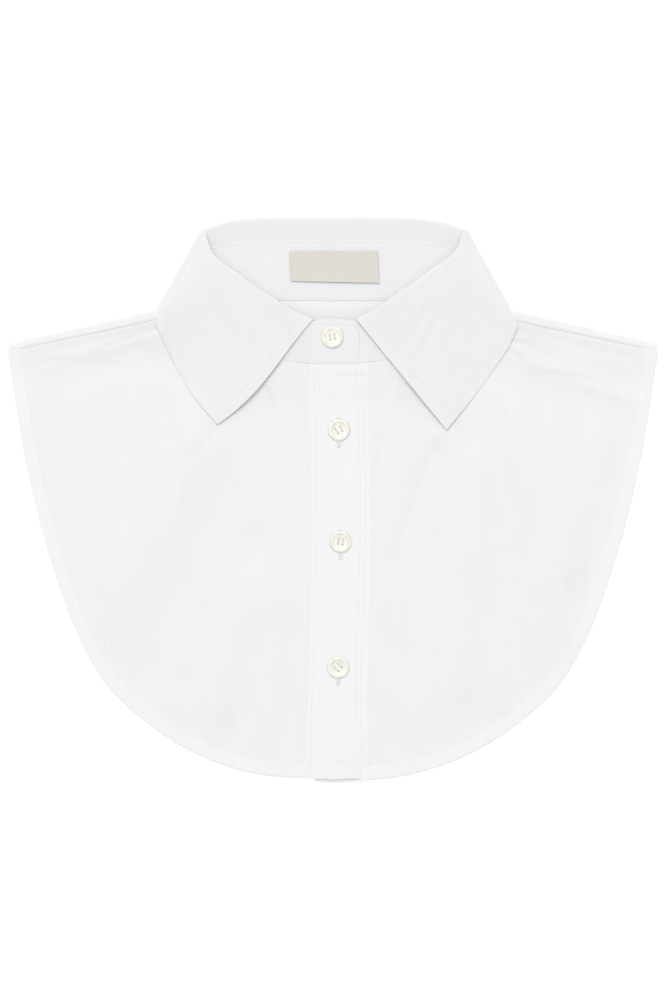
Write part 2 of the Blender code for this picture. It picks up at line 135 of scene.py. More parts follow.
# Button band
BAND_RIGHT_X = -13.2
BAND_SHORTER = 1.9
UNDER_BAND_RIGHT_X = -10.0
UNDER_BAND_LEFT_X = 20.0
BAND_EDGES = [
    # share of the way down, right edge, left edge, lower band's left edge
    (0.00, -13.1, 15.6, 19.6),
    (0.16, -12.7, 17.0, 20.0),
    (0.34, -12.1, 18.0, 21.0),
    (0.56, -12.7, 16.9, 20.8),
    (0.67, -13.3, 16.0, 19.7),
    (0.83, -14.4, 15.3, 19.5),
    (1.00, -15.6, 15.0, 19.5),
]
BAND_LENGTH = 228.0
PANEL_TUCK = 2.2
UNDER_BAND_DROP = 1.2
UNDER_BAND_DROP_LENGTH = 6.0
UNDER_BAND_DROP_END_X = 16.5
UNDER_BAND_DROP_FADE = 4.0
BAND_HEM = 10.0

# Loops round the collar
STAND_BOTTOM = {"back_y": 110.0, "side_x": 78.4, "side_y": 109.6, "back_z": 2.1, "side_z": 4.5}
STAND_TOP = {"back_y": 143.0, "side_x": 74.9, "side_y": 137.0, "back_z": 2.1, "side_z": 4.4}
ROLL_CORE = {"back_y": 154.1, "side_x": 72.5, "side_y": 147.5, "back_z": 2.1, "side_z": 4.9}
LEAF_EDGE = {"back_y": 103.5, "side_x": 97.2, "side_y": 104.2, "back_z": 0.6, "side_z": 4.2}
ROLL_RADIUS = 1.5
ROLL_RADIUS_SIDE = 0.6
ROLL_FRONT_Z = 7.3
ROLL_RADIUS_END = 0.9
ROLL_END_Z = 6.05
SIDE_RISE_SHARE = 0.2
LEFT_SIDE_WIDER = 1.1
BACK_ROUNDING = 5

# Front of the collar from the side towards the button band
RIGHT_FRONT = [
    # roll x, roll y, edge x, edge y, neck x
    (66.0, 137.4, 97.3, 99.5, 75.5),
    (50.0, 123.2, 92.8, 86.8, 65.0),
    (33.0, 111.6, 85.0, 71.2, 46.0),
    (21.0, 104.3, 76.6, 57.0, 26.0),
    (10.8, 100.4, 63.5, 41.5, 11.2),
]
LEFT_FRONT = [
    (67.6, 138.6, 100.9, 98.2, 75.5),
    (54.0, 127.0, 97.9, 86.8, 66.0),
    (37.5, 115.2, 87.6, 70.8, 50.0),
    (24.0, 106.2, 77.3, 56.7, 31.0),
    (12.4, 100.4, 62.5, 38.5, 14.8),
]
EDGE_GAP = 0.2
TIP_GAP = {"over": 2.0, "under": 1.1}
FRONT_EDGE_BOW = 3.3
FRONT_EDGE_BOW_WIDTH = 45.0
STAND_SHARE_SIDE = 0.29
STAND_SHARE_FRONT = 0.01
STAND_FRONT_Y = {"over": 97.8, "under": 99.4}
STAND_TOP_Z = {"over": 5.6, "under": 4.8}
STAND_STEP = 0.32
STAND_END_X = {"over": 14.3, "under": -13.0}
STAND_CORNER = 7.0

# Long soft folds of the front panels, each a low ridge along a line, as in the solids
FOLDS = [
    # x1, y1, x2, y2, half width, height
    (57.8, 34.0, 34.0, -34.0, 7.0, 0.8),
    (100.0, 20.0, 128.0, -72.0, 11.0, 1.0),
    (98.0, 80.0, 167.0, 55.0, 5.0, 0.9),
    (-80.0, 25.0, -101.0, -46.0, 9.0, 0.8),
    (-122.0, 84.0, -156.0, 70.0, 6.0, 0.7),
    (-34.0, 62.0, -27.0, 34.0, 4.0, 0.7),
    (-30.0, -60.0, -37.0, -128.0, 8.0, 0.6),
]

# Finer creases of the front panels, each a soft ridge, or a trough where it is negative.
# Their heights are all taken CREASE_STRENGTH times.
CREASES = [
    # x1, y1, x2, y2, half width, height
    (100.1, -2.8, 130.9, -52.8, 4.0, -0.35),
    (130.9, -52.8, 141.0, -65.0, 2.6, -0.40),
    (54.5, 26.4, 46.0, 2.0, 2.2, -0.30),
    (46.0, 2.0, 35.8, -27.0, 3.0, -0.22),
    (30.8, 45.7, 24.8, 18.2, 2.4, -0.35),
    (34.0, 58.0, 30.0, 44.0, 2.0, 0.25),
    (98.5, 80.9, 115.0, 69.9, 2.2, -0.45),
    (115.0, 69.9, 140.8, 66.6, 2.6, -0.40),
    (140.8, 66.6, 168.3, 56.7, 2.4, -0.35),
    (98.3, 87.5, 117.7, 82.2, 1.8, -0.35),
    (103.0, 92.0, 165.0, 78.0, 3.0, -0.30),
    (113.0, 78.0, 113.0, -20.0, 9.0, -0.40),
    (148.0, 30.0, 128.0, -40.0, 7.0, 0.35),
    (158.0, 60.0, 160.0, 10.0, 5.0, -0.30),
    (75.0, -80.0, 92.0, -118.0, 6.0, 0.30),
    (60.0, -30.0, 84.0, -70.0, 8.0, -0.30),
    (-169.4, 82.5, -160.6, 27.5, 4.0, -0.40),
    (-160.6, 27.5, -154.0, -10.5, 3.6, -0.35),
    (-154.0, -10.5, -140.0, -53.0, 3.6, -0.30),
    (-96.8, 94.6, -122.7, 84.7, 2.2, -0.40),
    (-122.7, 84.7, -128.0, 72.0, 2.2, -0.30),
    (-104.0, 93.0, -168.0, 80.0, 3.0, -0.30),
    (-110.0, 84.0, -165.0, 66.0, 4.0, -0.25),
    (-125.0, 74.0, -168.0, 76.0, 3.4, -0.30),
    (-64.4, 36.3, -85.0, 17.0, 3.4, -0.35),
    (-85.0, 17.0, -95.7, -17.0, 3.6, -0.30),
    (-95.7, -17.0, -102.3, -44.6, 4.0, -0.28),
    (-102.3, -44.6, -126.5, -79.2, 4.6, -0.28),
    (-36.9, 60.0, -27.5, 36.3, 2.0, -0.35),
    (-42.4, -24.2, -49.0, -79.2, 6.0, -0.35),
    (-49.0, -79.2, -52.8, -122.0, 6.0, -0.30),
    (-75.0, -60.0, -88.0, -108.0, 7.0, 0.30),
    (-22.5, 76.5, -19.8, 72.0, 1.1, 0.45),
    (-19.8, 72.0, -15.7, 66.2, 1.1, 0.45),
    (-15.7, 66.2, -14.3, 59.4, 1.0, 0.35),
]

CREASE_STRENGTH = 1.7
CREASE_TAPER = 4.0
CREASE_FADE_BAND = 9.0
CREASE_FADE_HEM = 8.0

# Creases of the button band, over the seam allowance of the neck and between the buttons
BAND_CREASES = [
    (5.0, 67.0, 17.0, 67.6, 1.2, -0.30),
    (-10.0, 71.5, 15.5, 71.5, 2.2, 0.25),
    (-12.0, 64.0, 3.0, 49.0, 2.4, -0.22),
    (10.0, 30.0, 15.0, 5.0, 3.0, -0.15),
    (-9.0, -40.0, -4.0, -70.0, 3.5, -0.15),
    (8.0, -104.0, 3.0, -128.0, 3.5, 0.15),
]

# Broad swells and hollows of the front panels, where the cloth lies loose
SWELLS = [
    # x1, y1, x2, y2, half width, height
    (-77.5, 31.0, -125.0, -64.0, 20.0, 2.7),
    (-45.6, -49.5, -73.0, -132.0, 14.0, 2.0),
    (-101.0, 77.0, -161.0, 63.0, 10.0, -1.0),
    (97.4, 47.9, 130.4, -36.9, 14.0, 2.4),
    (130.4, -36.9, 143.6, -57.8, 14.0, 1.8),
    (57.2, 23.7, 35.2, -35.2, 8.0, -1.5),
    (81.0, 16.5, 67.0, -99.0, 12.0, 1.6),
    (112.0, 62.0, 165.0, 44.0, 12.0, -1.1),
]
SWELL_FADE_BAND = 20.0
SWELL_FADE_HEM = 25.0

# Creases and hollows of the leaf's outer face
LEAF_CREASES = [
    # x1, y1, x2, y2, half width, height
    (-71.5, 127.6, -65.0, 99.0, 5.0, -0.6),
    (-59.0, 137.0, -48.0, 93.0, 8.0, 0.6),
    (51.7, 104.5, 37.0, 81.0, 3.0, -0.5),
    (57.0, 99.0, 46.0, 77.0, 3.0, -0.4),
    (70.0, 136.0, 81.0, 92.0, 7.0, -0.8),
]

# Unevenness of the cloth, wide and narrow, and what stitching does to it
SLACK_WIDE = 34.0
SLACK_WIDE_HEIGHT = 0.34
SLACK_NARROW = 9.0
SLACK_NARROW_HEIGHT = 0.06
BAND_SLACK = 0.5
STAND_SLACK = 0.35
PANEL_SEED = 3.0
BAND_SEED = 11.0
STAND_SEED = 23.0
LEAF_SEED = 31.0
CRINKLE_SIZE = 4.6
CRINKLE_HEIGHT = 0.30
CRINKLE_REACH = 13.0
PUCKER_LENGTH = 6.5
PUCKER_HEIGHT = 0.14
GROOVE_WIDTH = 0.55
GROOVE_DEPTH = 0.10

# Buttons and buttonholes. The first is on the stand, the rest go down the button band.
BUTTON_LIFT = -0.3
STAND_BUTTON = (-0.3, 89.6)
BAND_BUTTONS = [
    # x, y
    (3.3, 38.5),
    (4.2, -22.9),
    (2.9, -92.1),
]
BUTTON_PROFILE = [
    # radius, height
    (5.2, 0.00),
    (5.8, 0.12),
    (6.12, 0.42),
    (6.2, 0.80),
    (6.08, 1.10),
    (5.70, 1.36),
    (5.20, 1.50),
    (4.75, 1.52),
    (4.40, 1.44),
    (4.00, 1.26),
    (3.50, 1.16),
    (1.80, 1.12),
]
BUTTON_SEGMENTS = 64
BUTTON_TURNS = (12.0, 31.0, -8.0, 50.0)
HOLE_RADIUS = 0.52
HOLE_SEGMENTS = 20
HOLE_OFFSET = 1.35
HOLE_CUT_LENGTH = 6.0
THREAD_STRANDS = 3
BUTTONHOLE_LOW = 1.6
STAND_BUTTONHOLE = 10.8

# Label, by the corners of its lower and upper edge
LABEL_LOWER = [(-23.1, 120.3), (25.6, 119.2)]
LABEL_UPPER = [(-24.0, 137.0), (24.6, 137.0)]

# Patterns of the materials: the distance from one band to the next
WEAVE_PITCH = 0.6
PLY_PITCH = 0.35
SHELL_BAND_PITCH = 4.5

# The photograph's frame, and the camera straight above it
IMAGE_LONG_SIDE = 1000
PIXEL = 0.55
SENSOR = 36.0
CAMERA_SHIFT_X = 0.3
CLOTH_LEVEL = 3.0

# Stage, in metres but for the floor's level
KEY_PLACE = (-0.44, 2.16, 6.2)
KEY_SIZE = 4.4
FLOOR_HALF_SIZE = 4.0
FLOOR_LEVEL = -0.3
TABLE_GLOW = 0.3

UP = np.array([0.0, 0.0, 1.0])


def linear(code):
    """An sRGB hex colour as linear red, green and blue."""
    parts = [int(code[start : start + 2], 16) / 255.0 for start in (0, 2, 4)]
    return tuple(
        part / 12.92 if part <= 0.04045 else ((part + 0.055) / 1.055) ** 2.4 for part in parts
    )


def colour_property(name, code, description):
    return FloatVectorProperty(
        name=name,
        description=description,
        subtype="COLOR",
        size=3,
        min=0.0,
        max=1.0,
        default=linear(code),
    )


def length_property(name, length, description):
    """A length given in millimetres and kept in metres."""
    return FloatProperty(
        name=name,
        description=description,
        unit="LENGTH",
        precision=5,
        min=0.00001,
        soft_max=0.05,
        default=length * MM,
    )


class CollarSizes(bpy.types.PropertyGroup):
    cloth: length_property("Cloth", 0.38, "Thickness of one layer of poplin")
    hem: length_property("Hem", 8.0, "Depth of the hem that is turned under")
    hem_stitch: length_property("Hem stitch", 7.4, "Hem stitching's distance from the edge")
    leaf_stitch: length_property("Leaf stitch", 5.5, "Topstitching's distance from the leaf's edge")
    band_stitch: length_property("Band stitch", 2.8, "Stitching's distance from the band's edges")
    edge_stitch: length_property("Edge stitch", 1.4, "Stitching's distance from a seam")
    stitch: length_property("Stitch", 2.3, "Length of one stitch with the gap after it")
    thread: length_property("Thread", 0.32, "Thickness of the sewing thread")
    buttonhole: length_property("Buttonhole", 15.5, "Length of a buttonhole")


class CollarColours(bpy.types.PropertyGroup):
    cloth: colour_property("Cloth", "E1E1E3", "White poplin, one layer")
    doubled: colour_property("Doubled cloth", "E4E4E6", "White poplin with more cloth under it")
    stiffened: colour_property("Stiffened cloth", "DFDFE1", "White poplin over interlining")
    thread: colour_property("Thread", "E4E4E6", "White sewing thread")
    label: colour_property("Label", "D0CCC4", "Undyed woven tape")
    button: colour_property("Button", "E1E0D8", "Pearl white button")
    floor: colour_property("Floor", "FCFCFC", "Plain pale floor")


class CollarStage(bpy.types.PropertyGroup):
    key_power: FloatProperty(
        name="Key light",
        description="Power of the large soft light above the back of the neck",
        unit="POWER",
        min=0.0,
        default=300.0,
    )
    sky: FloatProperty(
        name="Room light",
        description="Strength of the even light all round",
        min=0.0,
        default=0.61,
    )
    camera_height: length_property("Camera height", 2000.0, "Camera's height above the cloth")


def blend(start, end, share):
    return start + (end - start) * share


def clamp(value):
    return min(1.0, max(0.0, value))


def smooth(share):
    """0 below 0, 1 above 1, and an even S between."""
    share = clamp(share)
    return share * share * (3.0 - 2.0 * share)


def steps(start, end, count):
    return [blend(start, end, step / count) for step in range(count + 1)]


def curve_through(points):
    """A smooth curve through the points, as a function that runs from 0 to 1."""
    points = np.array(points, float)
    lengths = np.linalg.norm(np.diff(points, axis=0), axis=1)
    knots = np.concatenate([[0.0], np.cumsum(lengths)]) / lengths.sum()
    slopes = np.gradient(points, knots, axis=0)

    def at(share):
        first = int(np.searchsorted(knots, share, side="right")) - 1
        first = min(max(first, 0), len(points) - 2)
        span = knots[first + 1] - knots[first]
        part = (share - knots[first]) / span
        leave = part * (1.0 - part) ** 2 * span * slopes[first]
        arrive = part * part * (part - 1.0) * span * slopes[first + 1]
        return blend(points[first], points[first + 1], smooth(part)) + leave + arrive

    return at


hem_curve = curve_through(HEM_LINE)


def bisect(test, low, high, rounds=22):
    """The value at which test turns from true to false between low and high."""
    for _ in range(rounds):
        middle = (low + high) / 2.0
        if test(middle):
            low = middle
        else:
            high = middle
    return low


def hem_direction(share):
    step = 0.01
    run = hem_curve(min(1.0, share + step)) - hem_curve(max(0.0, share - step))
    return run / np.linalg.norm(run)


@functools.lru_cache(maxsize=None)
def hem_share(x):
    """How far along the hem line it reaches this far out."""
    return bisect(lambda share: hem_curve(share)[0] < abs(x), 0.0, 1.0, rounds=30)


def shorter(x, amount):
    """How far a piece's hem stays above the longest one near the button band."""
    return amount * (1.0 - smooth(abs(x) / SHORTER_WIDTH))


def neck_y(x, outward=0.0):
    """Height in Y of the front neck seam at x, or of a line that lies outward of it."""
    share = min(1.0, abs(x) / (NECK_RADIUS_X + outward))
    return NECK_SIDE_Y - (NECK_DEPTH + outward) * math.sqrt(1.0 - share * share)


def fold_y(x):
    """Height in Y of the shoulder fold at x."""
    return SHOULDER_NECK_Y - SHOULDER_SLOPE * (abs(x) - SHOULDER_NECK_X)


def seam_below_fold(x):
    share = (abs(x) - SHOULDER_NECK_X) / (SHOULDER_END_X - SHOULDER_NECK_X)
    return blend(SEAM_BELOW_FOLD_NECK, SEAM_BELOW_FOLD_END, clamp(share))


def cloth_lift(x, y, start_y):
    """How far the collar leaf's back layer lifts the panels that lie over it."""
    along_y = smooth((y - start_y) / (LIFT_FULL_Y - start_y))
    along_x = smooth((LIFT_END_X - abs(x)) / (LIFT_END_X - LIFT_FULL_X))
    return LEAF_LIFT * along_y * along_x


def ridges_at(table, x, y, taper=2.0):
    """The height that each line of a table of soft ridges gives at a point. A ridge runs
    out over taper times its half width past its ends."""
    x1, y1, x2, y2, half_width, height = table
    run_x = x2 - x1
    run_y = y2 - y1
    length = np.hypot(run_x, run_y)
    along = ((x - x1) * run_x + (y - y1) * run_y) / length
    across = ((x - x1) * run_y - (y - y1) * run_x) / length
    beyond = np.maximum(np.maximum(-along, along - length), 0.0)
    ends = np.clip(1.0 - beyond / (taper * half_width), 0.0, 1.0)
    ends = ends * ends * (3.0 - 2.0 * ends)
    return height * ends * np.exp(-((across / half_width) ** 2))


FOLD_COLUMNS = np.array(FOLDS).T
CREASE_COLUMNS = np.array(CREASES).T
BAND_CREASE_COLUMNS = np.array(BAND_CREASES).T
SWELL_COLUMNS = np.array(SWELLS).T
LEAF_CREASE_COLUMNS = np.array(LEAF_CREASES).T


def neck_distance(x, y):
    """Roughly how far a point lies outside the front neck seam."""
    scaled = math.hypot(x / NECK_RADIUS_X, (NECK_SIDE_Y - y) / NECK_DEPTH)
    if scaled <= 1.0:
        return 0.0
    return math.hypot(x, NECK_SIDE_Y - y) * (1.0 - 1.0 / scaled)


def near_seams(x, y):
    """1 at the neck and shoulder seams of the front, falling to 0 away from them."""
    below_seam = fold_y(x) - seam_below_fold(x) - y
    at_neck = 1.0 - smooth(neck_distance(x, y) / NECK_RISE_WIDTH)
    at_shoulder = 1.0 - smooth(below_seam / SHOULDER_RISE_WIDTH)
    return 1.0 - (1.0 - at_neck) * (1.0 - at_shoulder)


def front_height(x, y):
    """Height of the middle of the front solids' wall."""
    flat = PANEL_WALL * 1.5 + LAYER_GAP
    near = near_seams(x, y)
    rise = blend(NECK_RISE, SHOULDER_RISE, clamp(abs(x) / NECK_RADIUS_X) ** 2)
    lift = cloth_lift(x, y, FRONT_LIFT_START_Y)
    folds = max(0.0, float(ridges_at(FOLD_COLUMNS, x, y).max()))
    return flat + lift + rise * near + folds * (1.0 - near)


def slack(x, y, seed):
    """Unevenness of cloth that lies loose."""
    wide = noise.noise(Vector((x / SLACK_WIDE, y / SLACK_WIDE, seed)))
    narrow = noise.noise(Vector((x / SLACK_NARROW, y / SLACK_NARROW, seed + 7.0)))
    return SLACK_WIDE_HEIGHT * wide + SLACK_NARROW_HEIGHT * narrow


def crinkle(x, y, seed):
    """Small sharp unevenness beside a topstitched edge."""
    return CRINKLE_HEIGHT * noise.noise(Vector((x / CRINKLE_SIZE, y / CRINKLE_SIZE, seed)))


def groove(distance, stitched_at):
    """The dip that a row of stitches pulls into the cloth."""
    return -GROOVE_DEPTH * math.exp(-(((distance - stitched_at) / GROOVE_WIDTH) ** 2))


def pucker(along, seed):
    """The ripple that stitching leaves along an edge."""
    shift = 2.2 * noise.noise(Vector((along / 31.0, seed, 0.0)))
    share = 0.5 + 0.5 * noise.noise(Vector((along / 17.0, seed, 5.0)))
    return PUCKER_HEIGHT * share * math.sin(2.0 * math.pi * along / PUCKER_LENGTH + shift)


def hem_turn(edge, direction, outward, radius, depth, turn):
    """A point past the edge of a hem, which turns under in half a circle (turn 0 to 1) and
    runs back (1 to 2)."""
    centre = edge - direction * radius - outward * radius
    angle = math.pi * min(turn, 1.0)
    point = centre + radius * (direction * math.sin(angle) + outward * math.cos(angle))
    return point - direction * (depth - radius) * max(0.0, turn - 1.0)


# Rows of a hemmed panel: 0 to 1 from the neck to the hem, 1 to 2 across the hem, 2 to 3
# round its edge, and 3 to 4 back under it
HEM_ROWS = [*steps(1.0, 1.2, 4), *steps(1.2, 2.0, 6)[1:], *steps(2.0, 3.0, 6)[1:], 3.5, 4.0]


def hem_layers(row):
    """How far a point of a hemmed panel counts as doubled cloth."""
    return smooth((row - 1.0) / 0.06)


def front_point(side, band_x, shorter_by, hem, stitched_at, column, row):
    """A point on the upper face of a front panel, whose lines fan out from the neck seam
    to the hem, from the button band (column 0) round to the shoulder seam (column 1)."""
    radius_x = NECK_RADIUS_X - NECK_TUCK
    radius_y = NECK_DEPTH - NECK_TUCK
    seam_y = fold_y(SHOULDER_NECK_X) - SEAM_BELOW_FOLD_NECK
    first_angle = math.acos(band_x / radius_x)
    last_angle = math.asin((NECK_SIDE_Y - seam_y) / radius_y)
    angle = blend(first_angle, last_angle, column)
    top = np.array([radius_x * math.cos(angle), NECK_SIDE_Y - radius_y * math.sin(angle)])
    share = blend(hem_share(band_x), 1.0, column)
    bottom = hem_curve(share)
    bottom[1] += shorter(bottom[0], shorter_by)
    run = bottom - top
    length = float(np.linalg.norm(run))
    direction = run / length
    tangent = hem_direction(share)
    slant = abs(direction[0] * tangent[1] - direction[1] * tangent[0])
    band = hem / slant
    radius = (PANEL_WALL + HEM_RAISE) / 2.0
    if row <= 1.0:
        distance = (length - band) * row
    else:
        distance = length - band + (band - radius) * min(row - 1.0, 1.0)
    x, y = top + direction * distance
    to_hem = (length - distance) * slant
    z = front_height(side * x, y) + PANEL_WALL / 2.0
    free = 1.0 - near_seams(side * x, y)
    past_hem = to_hem - hem
    past_band = x - band_x - PANEL_TUCK
    beside_band = smooth(past_band / CREASE_FADE_BAND)
    creases = ridges_at(CREASE_COLUMNS, side * x, y, CREASE_TAPER)
    creases = CREASE_STRENGTH * float(creases.max() + creases.min())
    off_hem = smooth(past_hem / CREASE_FADE_HEM)
    z += blend(0.15, off_hem, smooth(6.0 * free)) * beside_band * creases
    swells = ridges_at(SWELL_COLUMNS, side * x, y)
    swells = float(swells.max() + swells.min())
    swells *= smooth(past_hem / SWELL_FADE_HEM) * smooth(past_band / SWELL_FADE_BAND)
    z += free * swells
    loose = beside_band * blend(0.5, 1.0, free) * slack(side * x, y, PANEL_SEED)
    loose += (1.0 - beside_band) * BAND_SLACK * slack(side * x, y, BAND_SEED)
    z += smooth((to_hem - 2.0) / 6.0) * loose
    hem_raise = HEM_RAISE * smooth((hem + 0.8 - to_hem) / 1.6)
    hem_raise += pucker(share * HEM_LENGTH, side) * smooth((hem + 5.0 - to_hem) / 7.0)
    z += smooth(past_band / HEM_FADE_BAND) * hem_raise + groove(to_hem, stitched_at)
    if row <= 2.0:
        return np.array([side * x, y, z])
    edge = np.array([*(top + direction * length), z])
    out = np.array([*direction, 0.0])
    point = hem_turn(edge, out, UP, radius, hem, row - 2.0)
    point[0] *= side
    return point


def back_point(hem, column, row):
    """A point on the outer face of the back panel, whose lines fan out from the neck to
    the hem. Past its first and last line it turns over the shoulder fold (one unit) and
    lies down as far as the seam (one more)."""
    fold_run = math.hypot(1.0, SHOULDER_SLOPE)
    outward = np.array([SHOULDER_SLOPE, 1.0]) / fold_run
    neck_corner = np.array([SHOULDER_NECK_X, SHOULDER_NECK_Y]) - outward * SHOULDER_RADIUS
    end_corner = np.array([SHOULDER_END_X, fold_y(SHOULDER_END_X)]) - outward * SHOULDER_RADIUS
    side = -1.0 if column < 0.5 else 1.0
    beyond = max(-column, column - 1.0, 0.0)
    out = min(1.0, abs(2.0 * column - 1.0))
    to_corner = clamp((out - LAST_BODY_COLUMN) / (1.0 - LAST_BODY_COLUMN))
    top = np.array([out * SHOULDER_NECK_X, BACK_NECK_Y + NECK_TUCK])
    top = blend(top, neck_corner, to_corner)
    tangent = hem_direction(out)
    bottom = hem_curve(out) + np.array([-tangent[1], tangent[0]]) * BACK_INSET
    bottom[1] += shorter(bottom[0], BACK_SHORTER)
    bottom = blend(bottom, end_corner, to_corner)
    run = bottom - top
    length = float(np.linalg.norm(run))
    direction = run / length
    radius = PANEL_WALL / 2.0
    if row <= 1.0:
        distance = (length - hem) * row
    else:
        distance = length - hem + (hem - radius) * min(row - 1.0, 1.0)
    point = top + direction * distance
    z_lift = cloth_lift(point[0], point[1], BACK_LIFT_START_Y)
    z = z_lift + BACK_NECK_RAISE * (1.0 - smooth(distance / 6.0)) * (1.0 - to_corner)
    angle = math.pi * min(beyond, 0.5)
    normal = np.array([*(outward * math.sin(angle)), -math.cos(angle)])
    if beyond > 0.0:
        front_lift = cloth_lift(point[0], point[1], FRONT_LIFT_START_Y)
        z += (front_lift - z_lift) * smooth(beyond)
        wide = seam_below_fold(point[0]) + SHOULDER_LAP
        tall = SHOULDER_TOP - SHOULDER_RADIUS
        over = math.pi / 2.0 * max(0.0, beyond - 0.5) / 1.5
        if beyond <= 0.5:
            z += SHOULDER_RADIUS * (1.0 - math.cos(angle))
            point = point + outward * SHOULDER_RADIUS * math.sin(angle)
        else:
            z += SHOULDER_RADIUS + tall * math.sin(over) ** 0.6
            point = point + outward * (SHOULDER_RADIUS - wide * (1.0 - math.cos(over)))
            normal = np.array([*(outward * math.cos(over) / wide), math.sin(over) / tall])
            normal = normal / np.linalg.norm(normal)
    point = np.array([*point, z])
    if row > 2.0:
        edge = point + np.array([*direction, 0.0]) * radius
        point = hem_turn(edge, np.array([*direction, 0.0]), normal, radius, hem, row - 2.0)
    point[0] *= side
    return point


band_edges = curve_through([(BAND_LENGTH * share, *edges) for share, *edges in BAND_EDGES])


def band_point(lap, shorter_by, height, stitched_at, hem_at, column, row):
    """A point on the middle of the upper or lower strip down the front. height is its
    middle's height over the front panels' face, at its right and its left."""

    def edges_at(share):
        _, right, left, lower_left = band_edges(share)
        return (right, left) if lap == "over" else (UNDER_BAND_RIGHT_X, lower_left)

    top_x = blend(*edges_at(0.0), column)
    bottom_x = blend(*edges_at(1.0), column)
    top = neck_y(top_x, -NECK_TUCK)
    bottom = hem_curve(hem_share(bottom_x))[1] + shorter(bottom_x, shorter_by)
    right, left = edges_at(row)
    x = blend(right, left, column)
    y = blend(top, bottom, row)
    to_edge = (left - right) * min(column, 1.0 - column)
    z = front_height(x, y) + PANEL_WALL / 2.0
    z += blend(height[0], height[1], smooth(column / 0.3))
    z += float(ridges_at(BAND_CREASE_COLUMNS, x, y).sum())
    z += BAND_SLACK * slack(x, y, BAND_SEED)
    if stitched_at:
        z += groove(to_edge, stitched_at)
        z += 0.4 * pucker(y, math.copysign(4.0, column - 0.5)) * smooth(1.0 - to_edge / 5.0)
    z += groove(y - bottom, hem_at)
    if lap == "under":
        at_end = smooth(1.0 - (y - bottom) / UNDER_BAND_DROP_LENGTH)
        covered = smooth((UNDER_BAND_DROP_END_X - x) / UNDER_BAND_DROP_FADE)
        z -= UNDER_BAND_DROP * at_end * covered
    return np.array([x, y, z])


def turned_loop(loop, turn, wider=0.0):
    """A point of a loop round the collar, behind (turn 0 to 1) or in the half circle at
    the side (turn 1 to 2). The collar's left side lies a little wider than its right."""
    radius = (loop["side_z"] - loop["back_z"]) / 2.0
    angle = math.pi * max(0.0, turn - 1.0)
    out = min(turn, 1.0)
    x = (loop["side_x"] - radius) * out + radius * math.sin(angle) + wider * out**3
    y = blend(loop["back_y"], loop["side_y"], out**BACK_ROUNDING)
    return np.array([x, y, loop["back_z"] + radius * (1.0 - math.cos(angle))])


def front_curve(sections, wider=0.0):
    """Runs down the front rows as one curve of core x, core y, edge x, edge y and
    neck x, from the end of the side turn."""
    core = turned_loop(ROLL_CORE, 2.0, wider)
    edge = turned_loop(LEAF_EDGE, 2.0, wider)
    neck = turned_loop(STAND_BOTTOM, 2.0, wider)
    rolls = np.array([row[:2] for row in sections])
    along = np.gradient(rolls, axis=0)
    along /= np.linalg.norm(along, axis=1)[:, None]
    into_neck = np.stack([along[:, 1], -along[:, 0]], axis=1)
    cores = rolls - into_neck * (ROLL_RADIUS + COLLAR_CLOTH / 2.0)
    rows = [(core[0], core[1], edge[0], edge[1], neck[0])]
    rows += [(*middle, *section[2:]) for middle, section in zip(cores, sections)]
    return curve_through(rows)


FRONT_CURVES = {
    "over": front_curve(RIGHT_FRONT),
    "under": front_curve(LEFT_FRONT, LEFT_SIDE_WIDER),
}


def stand_foot_z(lap, x):
    """Height of the middle of the stand's wall at the neck seam, where it is let into
    the cloth below it."""
    z = front_height(x, neck_y(x)) + (PANEL_WALL - COLLAR_CLOTH) / 2.0 + STAND_STEP
    on_band = smooth((x - BAND_RIGHT_X + 3.0) / 3.0) * smooth((UNDER_BAND_LEFT_X + 1.5 - x) / 3.0)
    height = BAND_OVER_BAND if lap == "over" else 0.0
    return z + on_band * (height + BAND_CLOTH / 2.0)


